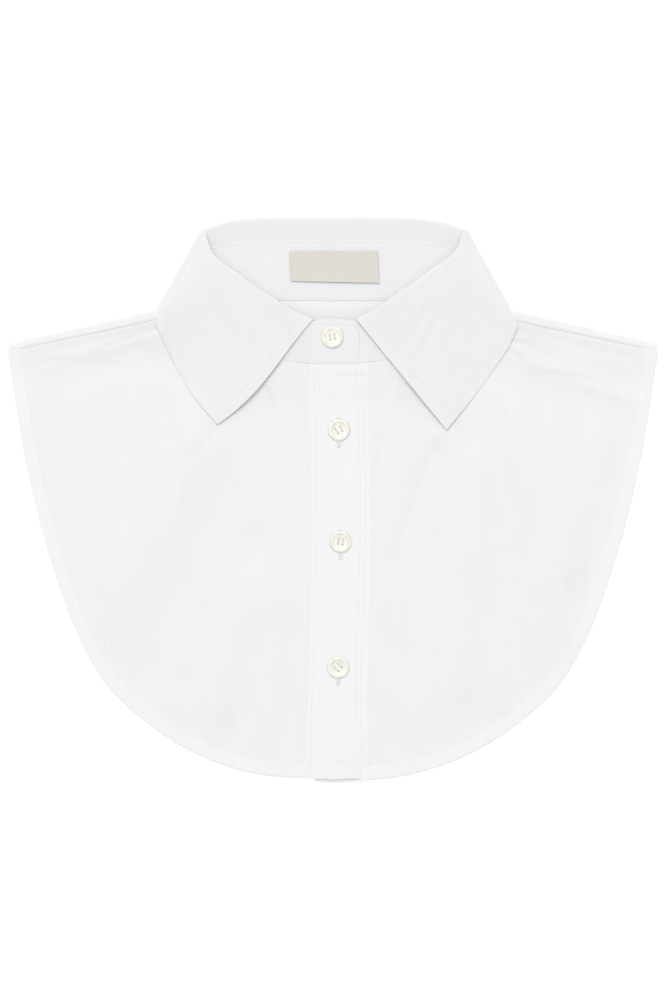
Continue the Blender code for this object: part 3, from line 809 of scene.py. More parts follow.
@functools.lru_cache(maxsize=None)
def collar_section(turn):
    """The four loops of the collar at one place round it, as points of its wall's middle
    and the direction out of the neck.

    turn is 0 at the centre back, 1 to 2 in the turn at the side, 3 at the leaf's front
    edge and 4 at the stand's end. Below 0 it is the wearer's right, whose end lies over.
    """
    lap = "over" if turn < 0 else "under"
    side = -1.0 if turn < 0 else 1.0
    turn = abs(turn)
    angle = math.pi * clamp(turn - 1.0)
    if turn <= 2.0:
        wider = LEFT_SIDE_WIDER if side > 0.0 else 0.0
        bottom, top, core, edge = (
            turned_loop(loop, turn, wider)
            for loop in (STAND_BOTTOM, STAND_TOP, ROLL_CORE, LEAF_EDGE)
        )
    else:
        share = min(1.0, turn - 2.0)
        core_x, core_y, edge_x, edge_y, neck_x = FRONT_CURVES[lap](share)
        ease = smooth(share)
        rise = math.sin(math.pi / 2.0 * min(1.0, share / SIDE_RISE_SHARE))
        core_z = blend(ROLL_CORE["side_z"], ROLL_FRONT_Z, rise)
        core_z = blend(core_z, ROLL_END_Z, smooth(2.0 * share - 1.0))
        core = np.array([core_x, core_y, core_z])
        edge_z = front_height(side * edge_x, edge_y) + (PANEL_WALL + COLLAR_CLOTH) / 2.0
        edge_z += blend(EDGE_GAP, TIP_GAP[lap], smooth((share - 0.6) / 0.4))
        edge = np.array([edge_x, edge_y, blend(LEAF_EDGE["side_z"], edge_z, smooth(share / 0.1))])
        from_side = (STAND_BOTTOM["side_y"] - NECK_SIDE_Y) * (1.0 - ease)
        foot_z = stand_foot_z(lap, side * neck_x)
        bottom_z = blend(STAND_BOTTOM["side_z"], foot_z, smooth(2.0 * share))
        bottom = np.array([neck_x, neck_y(neck_x) + from_side, bottom_z])
        down = blend(STAND_SHARE_SIDE, STAND_SHARE_FRONT, ease)
        top = blend(core, bottom, down)
        top[2] = blend(STAND_TOP["side_z"], STAND_TOP_Z[lap], ease)
    if turn > 3.0:
        share = turn - 3.0
        end_x = side * STAND_END_X[lap]
        x = blend(bottom[0], end_x, share)
        bottom = np.array([x, neck_y(x), stand_foot_z(lap, side * x)])
        top_y = blend(top[1], STAND_FRONT_Y[lap], smooth(2.5 * share))
        top = np.array([blend(top[0], end_x, share), top_y, top[2]])
        into_corner = STAND_CORNER - abs(end_x - top[0])
        if into_corner > 0.0:
            top[1] -= STAND_CORNER - math.sqrt(STAND_CORNER**2 - into_corner**2)
    out = np.array([side * math.sin(angle), 0.0, -math.cos(angle)])
    for point in (bottom, top, core, edge):
        point[0] *= side
    return bottom, top, core, edge, out


@functools.lru_cache(maxsize=None)
def roll_turn(turn):
    """Radius of the roll at one place round the collar, and the level direction that it
    swells in: up the stand behind, and square to the roll's own line in front."""
    _, top, core, _, _ = collar_section(turn)
    side = math.copysign(1.0, turn)
    turn = abs(turn)
    up = (core - top) * np.array([1.0, 1.0, 0.0])
    up = up / np.linalg.norm(up)
    if turn > 1.5:
        share = min(0.995, max(0.005, turn - 2.0))
        curve = FRONT_CURVES["over" if side < 0.0 else "under"]
        run = curve(share + 0.005)[:2] - curve(share - 0.005)[:2]
        square = np.array([side * run[1], -run[0], 0.0]) / np.linalg.norm(run)
        up = blend(up, square, smooth(2.0 * (turn - 1.5)))
        up = up / np.linalg.norm(up)
    flattened = smooth((turn - 0.95) / 0.5) * (1.0 - smooth((turn - 2.0) / 0.3))
    radius = blend(ROLL_RADIUS, ROLL_RADIUS_END, smooth(2.0 * turn - 5.0))
    return blend(radius, ROLL_RADIUS_SIDE, flattened), up


def stand_point(turn, row):
    """A point on the middle of the stand's wall, from the neck seam (0) to its top (1)."""
    bottom, top, _, _, out = collar_section(turn)
    point = blend(bottom, top, row)
    loose = smooth(2.0 * row) * smooth(2.0 - 2.0 * row)
    return point - out * STAND_SLACK * loose * slack(point[0], point[1], STAND_SEED)


def front_edge(turn):
    """The line of the leaf's front edge on one side, as its roll end and its direction."""
    _, _, core, edge, _ = collar_section(math.copysign(3.0, turn))
    run = edge[:2] - core[:2]
    return core[:2], run / np.linalg.norm(run)


def front_edge_distance(turn, point):
    """How far a point of the leaf lies from its front edge, as seen from above."""
    start, run = front_edge(turn)
    away = point[:2] - start
    return abs(away[0] * run[1] - away[1] * run[0])


def leaf_base(turn, row):
    """A point on the middle of the leaf's wall, from the stand's top edge (row 0) up the
    inside to the roll (1 to 2) and down the outside to its free edge (3)."""
    _, top, core, edge, out = collar_section(turn)
    radius, up = roll_turn(turn)
    if row <= 1.0:
        along = (core - top) * np.array([1.0, 1.0, 0.0])
        start = top - along / np.linalg.norm(along) * LEAF_TUCK + out * LEAF_UNDER_STAND
        return blend(start, core - out * radius, row)
    if row <= 2.0:
        angle = math.pi * (row - 1.0)
        return core + radius * (up * math.sin(angle) - out * math.cos(angle))
    return blend(core + out * radius, edge, row - 2.0)


def leaf_point(stitched_at, turn, row):
    """A point on the middle of the leaf's wall, with its creases and stitched dips."""
    point = leaf_base(turn, row)
    if row <= 2.0:
        return point
    _, _, core, edge, out = collar_section(turn)
    to_edge = (3.0 - row) * float(np.linalg.norm(edge - core))
    in_front = smooth(abs(turn) - 1.2)
    to_front = front_edge_distance(turn, point) if abs(turn) > 2.0 else 2.0 * CRINKLE_REACH
    nearest = min(to_edge, to_front)
    seed = LEAF_SEED + math.copysign(1.0, turn)
    rise = slack(point[0], point[1], seed) * smooth((row - 2.0) * 3.0)
    beside_edge = smooth(1.0 - nearest / CRINKLE_REACH) * smooth(nearest / 2.0)
    rise += crinkle(point[0], point[1], seed) * beside_edge * smooth((row - 2.1) * 4.0)
    creases = float(ridges_at(LEAF_CREASE_COLUMNS, point[0], point[1]).sum())
    rise += creases * smooth(nearest / 12.0) * smooth((row - 2.0) * 3.0)
    rise += groove(nearest, stitched_at) * smooth((row - 2.05) * 8.0)
    if turn < -2.0:
        run = front_edge(turn)[1]
        bow = FRONT_EDGE_BOW * math.sin(math.pi * (row - 2.0) ** 1.6)
        bow *= smooth(1.0 - to_front / FRONT_EDGE_BOW_WIDTH)
        point = point + bow * np.array([-run[1], run[0], 0.0])
    return point + out * rise * in_front


def label_point(column, row):
    """A point on the middle of the label's wall."""
    z = STAND_TOP["back_z"] + BAND_WALL / 2.0 + LAYER_GAP + LABEL_WALL / 2.0
    lower = blend(np.array(LABEL_LOWER[0]), np.array(LABEL_LOWER[1]), column)
    upper = blend(np.array(LABEL_UPPER[0]), np.array(LABEL_UPPER[1]), column)
    x, y = blend(lower, upper, row)
    middle = math.sin(math.pi * column)
    y += (0.5 - row) * 0.5 * middle - 0.25 * middle * (1.0 - row)
    bow = 0.35 * middle * abs(2.0 * row - 1.0) ** 2
    return np.array([x, y, z + bow])


def add_node(tree, kind, settings=(), links=()):
    """Adds a shader node. settings are pairs of a property, or an input's name or number,
    with its value, and links are pairs of an input with the socket that feeds it."""
    made = tree.nodes.new(f"ShaderNode{kind}")
    for name, value in settings:
        if isinstance(name, str) and hasattr(made, name):
            setattr(made, name, value)
        else:
            made.inputs[name].default_value = value
    for name, source in links:
        tree.links.new(source, made.inputs[name])
    return made


def add_wave(tree, vector, pitch, *settings):
    """Bands that repeat at a pitch in millimetres."""
    scale = ("Scale", 2.0 * math.pi / (20.0 * pitch * MM))
    return add_node(tree, "TexWave", [scale, *settings], [("Vector", vector)]).outputs["Fac"]


def add_noise(tree, vector, *settings):
    return add_node(tree, "TexNoise", settings, [("Vector", vector)]).outputs["Fac"]


def add_range(tree, value, *limits):
    """A value mapped from its lowest and highest to two others."""
    settings = zip(("From Min", "From Max", "To Min", "To Max"), limits)
    return add_node(tree, "MapRange", settings, [("Value", value)]).outputs["Result"]


def add_math(tree, operation, *terms):
    """A sum or product of sockets and numbers, in the order of its inputs."""
    numbers = [(place, term) for place, term in enumerate(terms) if isinstance(term, float)]
    sockets = [(place, term) for place, term in enumerate(terms) if not isinstance(term, float)]
    made = add_node(tree, "Math", [("operation", operation), *numbers], sockets)
    return made.outputs["Value"]


def add_bump(tree, shader, height, strength, distance):
    settings = [("Strength", strength), ("Distance", distance)]
    bump = add_node(tree, "Bump", settings, [("Height", height)])
    tree.links.new(bump.outputs["Normal"], shader.inputs["Normal"])


def new_material(name, colour, settings):
    """A material with its shader, its node tree and a node of Object coordinates."""
    material = bpy.data.materials.new(name)
    material.use_nodes = True
    tree = material.node_tree
    shader = tree.nodes["Principled BSDF"]
    shader.inputs["Base Color"].default_value = (*colour, 1.0)
    for setting, value in settings.items():
        shader.inputs[setting].default_value = value
    coordinates = add_node(tree, "TexCoord").outputs["Object"]
    return material, tree, shader, coordinates


def poplin(name, colour, doubled):
    """Cotton poplin: a plain weave of fine even yarns, bleached and pressed. The eye sees a
    matt white with faint streaks along the warp where a yarn is thicker, a slight fuzz,
    and a paler white where cloth lies under it. Its yarns are 0.2 mm apart, too fine to
    show, so the weave is drawn at WEAVE_PITCH."""
    settings = {
        "Roughness": 0.92,
        "Sheen Weight": 0.12,
        "Sheen Roughness": 0.6,
        "Specular IOR Level": 0.25,
    }
    material, tree, shader, coordinates = new_material(name, colour, settings)
    streaks = add_node(
        tree, "Mapping", [("Scale", (700.0, 28.0, 700.0))], [("Vector", coordinates)]
    ).outputs["Vector"]
    slub = add_noise(tree, streaks, ("Scale", 1.0), ("Detail", 3.0), ("Roughness", 0.55))
    mottle = add_noise(tree, coordinates, ("Scale", 60.0), ("Detail", 2.0))
    warp = add_wave(tree, coordinates, WEAVE_PITCH, ("bands_direction", "X"))
    weft = add_wave(tree, coordinates, WEAVE_PITCH, ("bands_direction", "Y"))
    layers = add_node(tree, "Attribute", [("attribute_name", "layers")])
    plain = add_node(
        tree,
        "Mix",
        [("data_type", "RGBA"), (6, (*colour, 1.0)), (7, (*doubled, 1.0))],
        [("Factor", layers.outputs["Fac"])],
    )
    tone = add_range(tree, slub, 0.3, 0.7, 0.988, 1.008)
    wide_tone = add_range(tree, mottle, 0.3, 0.7, 0.995, 1.005)
    both_tones = add_math(tree, "MULTIPLY", tone, wide_tone)
    toned = add_node(
        tree,
        "VectorMath",
        [("operation", "SCALE")],
        [(0, plain.outputs[2]), ("Scale", both_tones)],
    )
    tree.links.new(toned.outputs["Vector"], shader.inputs["Base Color"])
    yarns = add_math(tree, "ADD", warp, weft)
    add_bump(tree, shader, add_math(tree, "MULTIPLY_ADD", slub, 3.0, yarns), 0.5, 0.00004)
    return material


def sewing_thread(colour):
    """Spun polyester sewing thread: two plies twisted together. The eye sees a fine white
    cord, a little brighter than the cloth, with a slant where the plies cross it."""
    settings = {"Roughness": 0.6, "Sheen Weight": 0.2}
    material, tree, shader, coordinates = new_material("spun sewing thread", colour, settings)
    slant = [("Rotation", (0.0, 0.0, math.radians(35.0)))]
    turned = add_node(tree, "Mapping", slant, [("Vector", coordinates)]).outputs["Vector"]
    plies = add_wave(tree, turned, PLY_PITCH, ("Distortion", 0.4))
    add_bump(tree, shader, plies, 0.5, 0.00005)
    return material


def cotton_tape(colour):
    """Undyed cotton tape, woven with a rib across it. The eye sees a warm ecru with fine
    lines and darker flecks of seed in the yarn."""
    settings = {"Roughness": 0.88, "Sheen Weight": 0.15}
    material, tree, shader, coordinates = new_material("undyed cotton tape", colour, settings)
    uneven_bands = ("Distortion", 0.6)
    ribs = add_wave(tree, coordinates, 0.7, ("bands_direction", "Y"), uneven_bands)
    ends = add_wave(tree, coordinates, 0.9, ("bands_direction", "X"), uneven_bands)
    flecks = add_noise(tree, coordinates, ("Scale", 900.0), ("Detail", 4.0))
    woven = add_math(tree, "MULTIPLY", ribs, ends)
    uneven = add_math(tree, "MULTIPLY_ADD", flecks, 0.9, woven)
    toned = add_node(
        tree,
        "VectorMath",
        [("operation", "SCALE"), (0, colour)],
        [("Scale", add_range(tree, uneven, 0.2, 1.2, 0.93, 1.05))],
    )
    tree.links.new(toned.outputs["Vector"], shader.inputs["Base Color"])
    add_bump(tree, shader, uneven, 0.6, 0.00008)
    return material


def pearl_shell(colour):
    """Pearl shell, turned and polished, with its growth layers cut across. The eye sees a
    cream white with cloudy bands of cooler and rosier white under a clear gloss."""
    settings = {
        "Roughness": 0.36,
        "IOR": 1.53,
        "Coat Weight": 0.15,
        "Coat Roughness": 0.2,
        "Subsurface Weight": 0.15,
        "Subsurface Radius": (0.0012, 0.001, 0.0009),
        "Subsurface Scale": 0.6,
    }
    material, tree, shader, coordinates = new_material("polished pearl shell", colour, settings)
    cloudy = [("Distortion", 6.0), ("Detail", 3.0), ("Detail Scale", 1.5)]
    layers = add_wave(tree, coordinates, SHELL_BAND_PITCH, *cloudy)
    ramp = add_node(tree, "ValToRGB", links=[("Fac", layers)])
    shades = [
        # position, share of the colour's red, green and blue
        (0.0, 0.93, 0.94, 0.93),
        (0.45, 1.0, 0.995, 0.975),
        (1.0, 1.05, 1.02, 1.0),
    ]
    ramp.color_ramp.elements.new(shades[1][0])
    for element, (position, *shade) in zip(ramp.color_ramp.elements, shades):
        element.position = position
        element.color = (*(part * share for part, share in zip(colour, shade)), 1.0)
    tree.links.new(ramp.outputs["Color"], shader.inputs["Base Color"])
    return material


def floor_paper(colour):
    """Matt white paper on a lit table. The eye sees an even pale ground, with no grain at
    this size and only faint shadows."""
    settings = {
        "Roughness": 0.95,
        "Specular IOR Level": 0.0,
        "Emission Color": (1.0, 1.0, 1.0, 1.0),
        "Emission Strength": TABLE_GLOW,
    }
    material, tree, shader, coordinates = new_material("matt white paper", colour, settings)
    fibres = add_noise(tree, coordinates, ("Scale", 400.0), ("Detail", 2.0))
    add_bump(tree, shader, fibres, 0.1, 0.00005)
    return material


def collar_material(kind):
    """The material of that kind, made when it is first asked for."""
    colours = bpy.context.scene.collar_colours
    makers = {
        "poplin": lambda: poplin("cotton poplin", colours.cloth, colours.doubled),
        "doubled": lambda: poplin("cotton poplin, doubled", colours.doubled, colours.doubled),
        "stiffened": lambda: poplin("cotton poplin, fused", colours.stiffened, colours.doubled),
        "thread": lambda: sewing_thread(colours.thread),
        "tape": lambda: cotton_tape(colours.label),
        "shell": lambda: pearl_shell(colours.button),
        "paper": lambda: floor_paper(colours.floor),
    }
    key = f"collar {kind}"
    found = [item for item in bpy.data.materials if item.get("collar_kind") == key]
    if found:
        return found[0]
    material = makers[kind]()
    material["collar_kind"] = key
    return material


def linked_object(name, data):
    """An object of a mesh, lamp or lens, linked into the scene."""
    made = bpy.data.objects.new(name, data)
    bpy.context.scene.collection.objects.link(made)
    return made


def mesh_of(name, source):
    """A mesh with what is in a bmesh, which is then freed."""
    mesh = bpy.data.meshes.new(name)
    source.to_mesh(mesh)
    source.free()
    return mesh


def new_piece(name, source, kind, nodes=()):
    """Makes an object of a bmesh, which rides on the body and replaces the solids."""
    mesh = mesh_of(name, source)
    mesh.materials.append(collar_material(kind))
    mesh.shade_smooth()
    piece = linked_object(name, mesh)
    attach(piece, BODY)
    if nodes:
        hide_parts(*nodes)
    return piece


def cloth_grid(columns, rows, place, face_up, layers=None):
    """A grid with place(column, row) as its points, facing up or down at its middle."""
    sheet = bmesh.new()
    across = len(columns) - 1
    down = len(rows) - 1
    bmesh.ops.create_grid(sheet, x_segments=across, y_segments=down, size=1.0)
    doubled = sheet.verts.layers.float.new("layers")
    for vertex in sheet.verts:
        column = columns[round((vertex.co.x + 1.0) / 2.0 * across)]
        row = rows[round((vertex.co.y + 1.0) / 2.0 * down)]
        vertex.co = Vector(place(column, row)) * MM
        vertex[doubled] = layers(row) if layers else 0.0
    sheet.normal_update()
    sheet.faces.ensure_lookup_table()
    middle = sheet.faces[(down // 2) * across + across // 2]
    if (middle.normal.z > 0.0) != face_up:
        bmesh.ops.reverse_faces(sheet, faces=sheet.faces)
    return sheet


def give_wall(piece, wall, grow):
    """A wall for a sheet: grow is -1 where it grows inward from the outer face, and 0
    where the sheet is its middle."""
    cloth = piece.modifiers.new("cloth wall", "SOLIDIFY")
    cloth.thickness = wall
    cloth.offset = grow
    cloth.use_even_offset = False


def round_edges(piece, width, segments=3):
    """Rounds the rim of a wall, as a turned seam does."""
    rim = piece.modifiers.new("turned edge", "BEVEL")
    rim.width = width
    rim.segments = segments
    rim.limit_method = "ANGLE"
    rim.angle_limit = math.radians(55.0)


def along_surface(place, pairs, wall):
    """Points on the outer face of a sheet with their normals, for pairs of column and row."""
    path = []
    small = 0.004
    for column, row in pairs:
        here = place(column, row)
        across = place(column + small, row) - place(column - small, row)
        down = place(column, row + small) - place(column, row - small)
        normal = np.cross(across, down)
        normal /= np.linalg.norm(normal)
        path.append((here + normal * wall, normal))
    return path


def stitch_along(thread, path, pitch, thickness):
    """Adds a row of stitches to a bmesh. path holds points and normals in millimetres."""
    points = np.array([point for point, _ in path])
    normals = np.array([normal for _, normal in path])
    lengths = np.linalg.norm(np.diff(points, axis=0), axis=1)
    travelled = np.concatenate([[0.0], np.cumsum(lengths)])
    count = int(travelled[-1] / pitch)
    for number in range(count):
        ends = (pitch * (number + 0.10), pitch * (number + 0.90))
        start, end, up = (
            np.array([np.interp(at, travelled, values[:, axis]) for axis in range(3)])
            for at, values in ((ends[0], points), (ends[1], points), (sum(ends) / 2, normals))
        )
        add_stitch(thread, start, end, up, thickness)


def add_stitch(thread, start, end, up, thickness):
    """One stitch: a short rounded bar, half sunk in the cloth."""
    run = end - start
    length = float(np.linalg.norm(run))
    along = Vector(run / length)
    across = Vector(up).cross(along).normalized()
    over = along.cross(across)
    turn = Matrix((along, across, over)).transposed().to_4x4()
    size = Matrix.Diagonal((length / 2.0, thickness / 2.0, thickness / 2.0, 1.0))
    middle = Vector((start + end) / 2.0) + Vector(up) * thickness * 0.15
    matrix = Matrix.Scale(MM, 4) @ Matrix.Translation(middle) @ turn @ size
    bmesh.ops.create_icosphere(thread, subdivisions=1, radius=1.0, matrix=matrix)


def in_mm(value):
    return value / MM


class COLLAR_OT_back_panel(bpy.types.Operator):
    """Makes the back, which turns over the shoulders"""

    bl_idname = "collar.back_panel"
    bl_label = "Back panel"

    def execute(self, context):
        sizes = context.scene.collar_sizes
        place = functools.partial(back_point, in_mm(sizes.hem))
        turned = [*steps(-2.0, -0.5, 12), *steps(-0.5, 0.0, 6)[1:]]
        body = steps(0.0, 1.0, 120)[1:]
        columns = [*turned, *body, *(1.0 - column for column in turned[-2::-1])]
        rows = [*steps(0.0, 1.0, 44), *HEM_ROWS[1:]]
        sheet = cloth_grid(columns, rows, place, face_up=False, layers=hem_layers)
        piece = new_piece("back_panel_cloth", sheet, "poplin", ["back_panel"])
        give_wall(piece, sizes.cloth, -1.0)
        return {"FINISHED"}


class COLLAR_OT_front_panels(bpy.types.Operator):
    """Makes both fronts, with their hems turned under"""

    bl_idname = "collar.front_panels"
    bl_label = "Front panels"

    def execute(self, context):
        sizes = context.scene.collar_sizes
        hem = in_mm(sizes.hem)
        stitched_at = in_mm(sizes.hem_stitch)
        fronts = [
            # node, side, band x, how much shorter
            ("front_panel_right", -1.0, -BAND_RIGHT_X - PANEL_TUCK, RIGHT_SHORTER),
            ("front_panel_left", 1.0, UNDER_BAND_LEFT_X - PANEL_TUCK, LEFT_SHORTER),
        ]
        columns = steps(0.0, 1.0, 150)
        rows = [*steps(0.0, 1.0, 110), *HEM_ROWS[1:]]
        for node, side, band_x, shorter_by in fronts:
            place = functools.partial(front_point, side, band_x, shorter_by, hem, stitched_at)
            sheet = cloth_grid(columns, rows, place, face_up=True, layers=hem_layers)
            piece = new_piece(f"{node}_cloth", sheet, "poplin", [node])
            give_wall(piece, sizes.cloth, -1.0)
        return {"FINISHED"}


def over_band(sizes):
    """The upper button band's points."""
    height = (BAND_OVER_PANEL, BAND_OVER_BAND)
    stitched_at = in_mm(sizes.band_stitch)
    return functools.partial(
        band_point, "over", BAND_SHORTER, height, stitched_at, BAND_HEM
    )


def under_band(sizes):
    """The lower button band's points."""
    hem_at = in_mm(sizes.hem_stitch)
    return functools.partial(band_point, "under", 0.0, (0.0, 0.0), 0.0, hem_at)


class COLLAR_OT_button_band(bpy.types.Operator):
    """Makes both layers of the button band"""

    bl_idname = "collar.button_band"
    bl_label = "Button band"

    def execute(self, context):
        sizes = context.scene.collar_sizes
        edge = [0.0, 0.012, 0.03, 0.05, 0.066, 0.078, 0.09, 0.102, 0.115, 0.14, 0.18]
        columns = [*edge, *steps(0.22, 0.78, 16), *(1.0 - share for share in edge[::-1])]
        rows = [*steps(0.0, 0.95, 150), *steps(0.95, 0.97, 10)[1:], *steps(0.97, 1.0, 6)[1:]]
        bands = [
            # node, points
            ("placket_over", over_band(sizes)),
            ("placket_under", under_band(sizes)),
        ]
        for node, place in bands:
            sheet = cloth_grid(columns, rows, place, face_up=True)
            piece = new_piece(f"{node}_cloth", sheet, "doubled", [node])
            give_wall(piece, BAND_CLOTH * MM, 0.0)
            round_edges(piece, 0.2 * MM)
        return {"FINISHED"}


class COLLAR_OT_stand(bpy.types.Operator):
    """Makes the stand round the neck, with its ends lapped in front"""

    bl_idname = "collar.stand"
    bl_label = "Stand"

    def execute(self, context):
        half = [*steps(0.0, 1.0, 40), *steps(1.0, 2.0, 16)[1:], *steps(2.0, 3.0, 50)[1:]]
        half += [*steps(3.0, 3.6, 14)[1:], *steps(3.6, 4.0, 24)[1:]]
        turns = [-turn for turn in half[:0:-1]] + half
        rows = [0.0, 0.02, *steps(0.04, 0.96, 20), 0.98, 1.0]
        sheet = cloth_grid(turns, rows, stand_point, face_up=True)
        piece = new_piece(
            "collar_stand_cloth", sheet, "stiffened", ["collar_stand"]
        )
        give_wall(piece, COLLAR_CLOTH * MM, 0.0)
        round_edges(piece, 0.3 * MM)
        return {"FINISHED"}


class COLLAR_OT_leaf(bpy.types.Operator):
    """Makes the leaf, turned down over the stand, with its two points"""

    bl_idname = "collar.leaf"
    bl_label = "Leaf"

    def execute(self, context):
        stitched_at = in_mm(context.scene.collar_sizes.leaf_stitch)
        place = functools.partial(leaf_point, stitched_at)
        half = [*steps(0.0, 1.0, 40), *steps(1.0, 2.0, 16)[1:], *steps(2.0, 2.84, 60)[1:]]
        half += steps(2.84, 3.0, 30)[1:]
        turns = [-turn for turn in half[:0:-1]] + half
        rows = [*steps(0.0, 1.0, 8), *steps(1.0, 2.0, 12)[1:], *steps(2.0, 2.82, 44)[1:]]
        rows += steps(2.82, 3.0, 24)[1:]
        sheet = cloth_grid(turns, rows, place, face_up=False)
        piece = new_piece(
            "collar_leaf_cloth", sheet, "stiffened", ["collar_leaf"]
        )
        give_wall(piece, COLLAR_CLOTH * MM, 0.0)
        round_edges(piece, 0.4 * MM)
        return {"FINISHED"}


class COLLAR_OT_label(bpy.types.Operator):
    """Makes the bare label and the stitches at its two ends"""

    bl_idname = "collar.label"
    bl_label = "Label"

    def execute(self, context):
        sizes = context.scene.collar_sizes
        sheet = cloth_grid(steps(0.0, 1.0, 60), steps(0.0, 1.0, 24), label_point, face_up=True)
        piece = new_piece("label_tape", sheet, "tape", ["label"])
        give_wall(piece, LABEL_CLOTH * MM, 0.0)
        round_edges(piece, 0.2 * MM)
        thread = bmesh.new()
        for column in (0.042, 0.958):
            pairs = [(column, row) for row in steps(0.06, 0.94, 30)]
            path = along_surface(label_point, pairs, LABEL_CLOTH / 2.0)
            stitch_along(thread, path, 1.9, in_mm(sizes.thread) * 0.8)
        stitches = new_piece("label_stitches", thread, "thread")
        return {"FINISHED"}


def turned_button():
    """A button turned from its profile, with four holes through it, as a mesh."""
    turned = bmesh.new()
    foot = turned.verts.new((0.0, 0.0, 0.0))
    top = turned.verts.new((0.0, 0.0, BUTTON_PROFILE[-1][1] * MM))
    rim = [turned.verts.new((radius * MM, 0.0, z * MM)) for radius, z in BUTTON_PROFILE]
    line = [foot, *rim, top]
    edges = [turned.edges.new(pair) for pair in zip(line, line[1:])]
    bmesh.ops.spin(
        turned,
        geom=line + edges,
        cent=(0.0, 0.0, 0.0),
        axis=(0.0, 0.0, 1.0),
        angle=2.0 * math.pi,
        steps=BUTTON_SEGMENTS,
        use_merge=True,
    )
    bmesh.ops.remove_doubles(turned, verts=turned.verts, dist=1e-6)
    bmesh.ops.recalc_face_normals(turned, faces=turned.faces)
    drills = bmesh.new()
    for across in (-HOLE_OFFSET, HOLE_OFFSET):
        for along in (-HOLE_OFFSET, HOLE_OFFSET):
            bmesh.ops.create_cone(
                drills,
                cap_ends=True,
                segments=HOLE_SEGMENTS,
                radius1=HOLE_RADIUS * MM,
                radius2=HOLE_RADIUS * MM,
                depth=HOLE_CUT_LENGTH * MM,
                matrix=Matrix.Translation((across * MM, along * MM, 0.0)),
            )
    blank = linked_object("button blank", mesh_of("button blank", turned))
    drill = linked_object("button drills", mesh_of("button drills", drills))
    holes = blank.modifiers.new("thread holes", "BOOLEAN")
    holes.operation = "DIFFERENCE"
    holes.object = drill
    graph = bpy.context.evaluated_depsgraph_get()
    mesh = bpy.data.meshes.new_from_object(blank.evaluated_get(graph))
    for helper in (blank, drill):
        bpy.data.objects.remove(helper, do_unlink=True)
    return mesh


def button_places():
    """Where each button's foot is, in millimetres."""
    x, y = STAND_BUTTON
    up_stand = (y - neck_y(x)) / (STAND_FRONT_Y["over"] - neck_y(x))
    stand_z = blend(stand_foot_z("over", x), STAND_TOP_Z["over"], up_stand)
    band = PANEL_WALL / 2.0 + BAND_OVER_BAND + BAND_CLOTH / 2.0
    places = [(x, y, stand_z + COLLAR_CLOTH / 2.0 + BUTTON_LIFT)]
    places += [(x, y, front_height(x, y) + band + BUTTON_LIFT) for x, y in BAND_BUTTONS]
    return places


class COLLAR_OT_buttons(bpy.types.Operator):
    """Makes the four shell buttons and the thread through their holes"""

    bl_idname = "collar.buttons"
    bl_label = "Buttons"

    def execute(self, context):
        sizes = context.scene.collar_sizes
        pattern = turned_button()
        thickness = in_mm(sizes.thread)
        for number, (place, turn) in enumerate(zip(button_places(), BUTTON_TURNS), start=1):
            turned = Matrix.Rotation(math.radians(turn), 4, "Z")
            move = Matrix.Translation(Vector(place) * MM) @ turned
            button = bmesh.new()
            button.from_mesh(pattern)
            button.transform(move)
            piece = new_piece(
                f"shell_button_{number}", button, "shell", [f"button_{number}"]
            )
            piece.data.set_sharp_from_angle(angle=math.radians(38.0))
            thread = bmesh.new()
            top = BUTTON_PROFILE[-1][1] + thickness * 0.4
            for across in (-HOLE_OFFSET, HOLE_OFFSET):
                for strand in range(THREAD_STRANDS):
                    aside = across + (strand - 1) * thickness * 0.85
                    self.thread_loop(thread, aside, top, thickness)
            thread.transform(move)
            new_piece(f"button_thread_{number}", thread, "thread")
        bpy.data.meshes.remove(pattern)
        return {"FINISHED"}

    @staticmethod
    def thread_loop(thread, aside, top, thickness):
        """One strand from hole to hole, over the button and down into both."""
        reach = HOLE_OFFSET
        arch = [
            (-reach - 0.35, top - 0.9),
            (-reach - 0.1, top - 0.1),
            (-reach * 0.45, top + 0.22),
            (reach * 0.45, top + 0.22),
            (reach + 0.1, top - 0.1),
            (reach + 0.35, top - 0.9),
        ]
        for (y1, z1), (y2, z2) in zip(arch, arch[1:]):
            start = np.array([aside, y1, z1])
            end = np.array([aside, y2, z2])
            side = UP if abs(z2 - z1) < 1.0 else np.array([0.0, 1.0, 0.0])
            longer = (end - start) * 0.22
            add_stitch(thread, start - longer, end + longer, side, thickness)


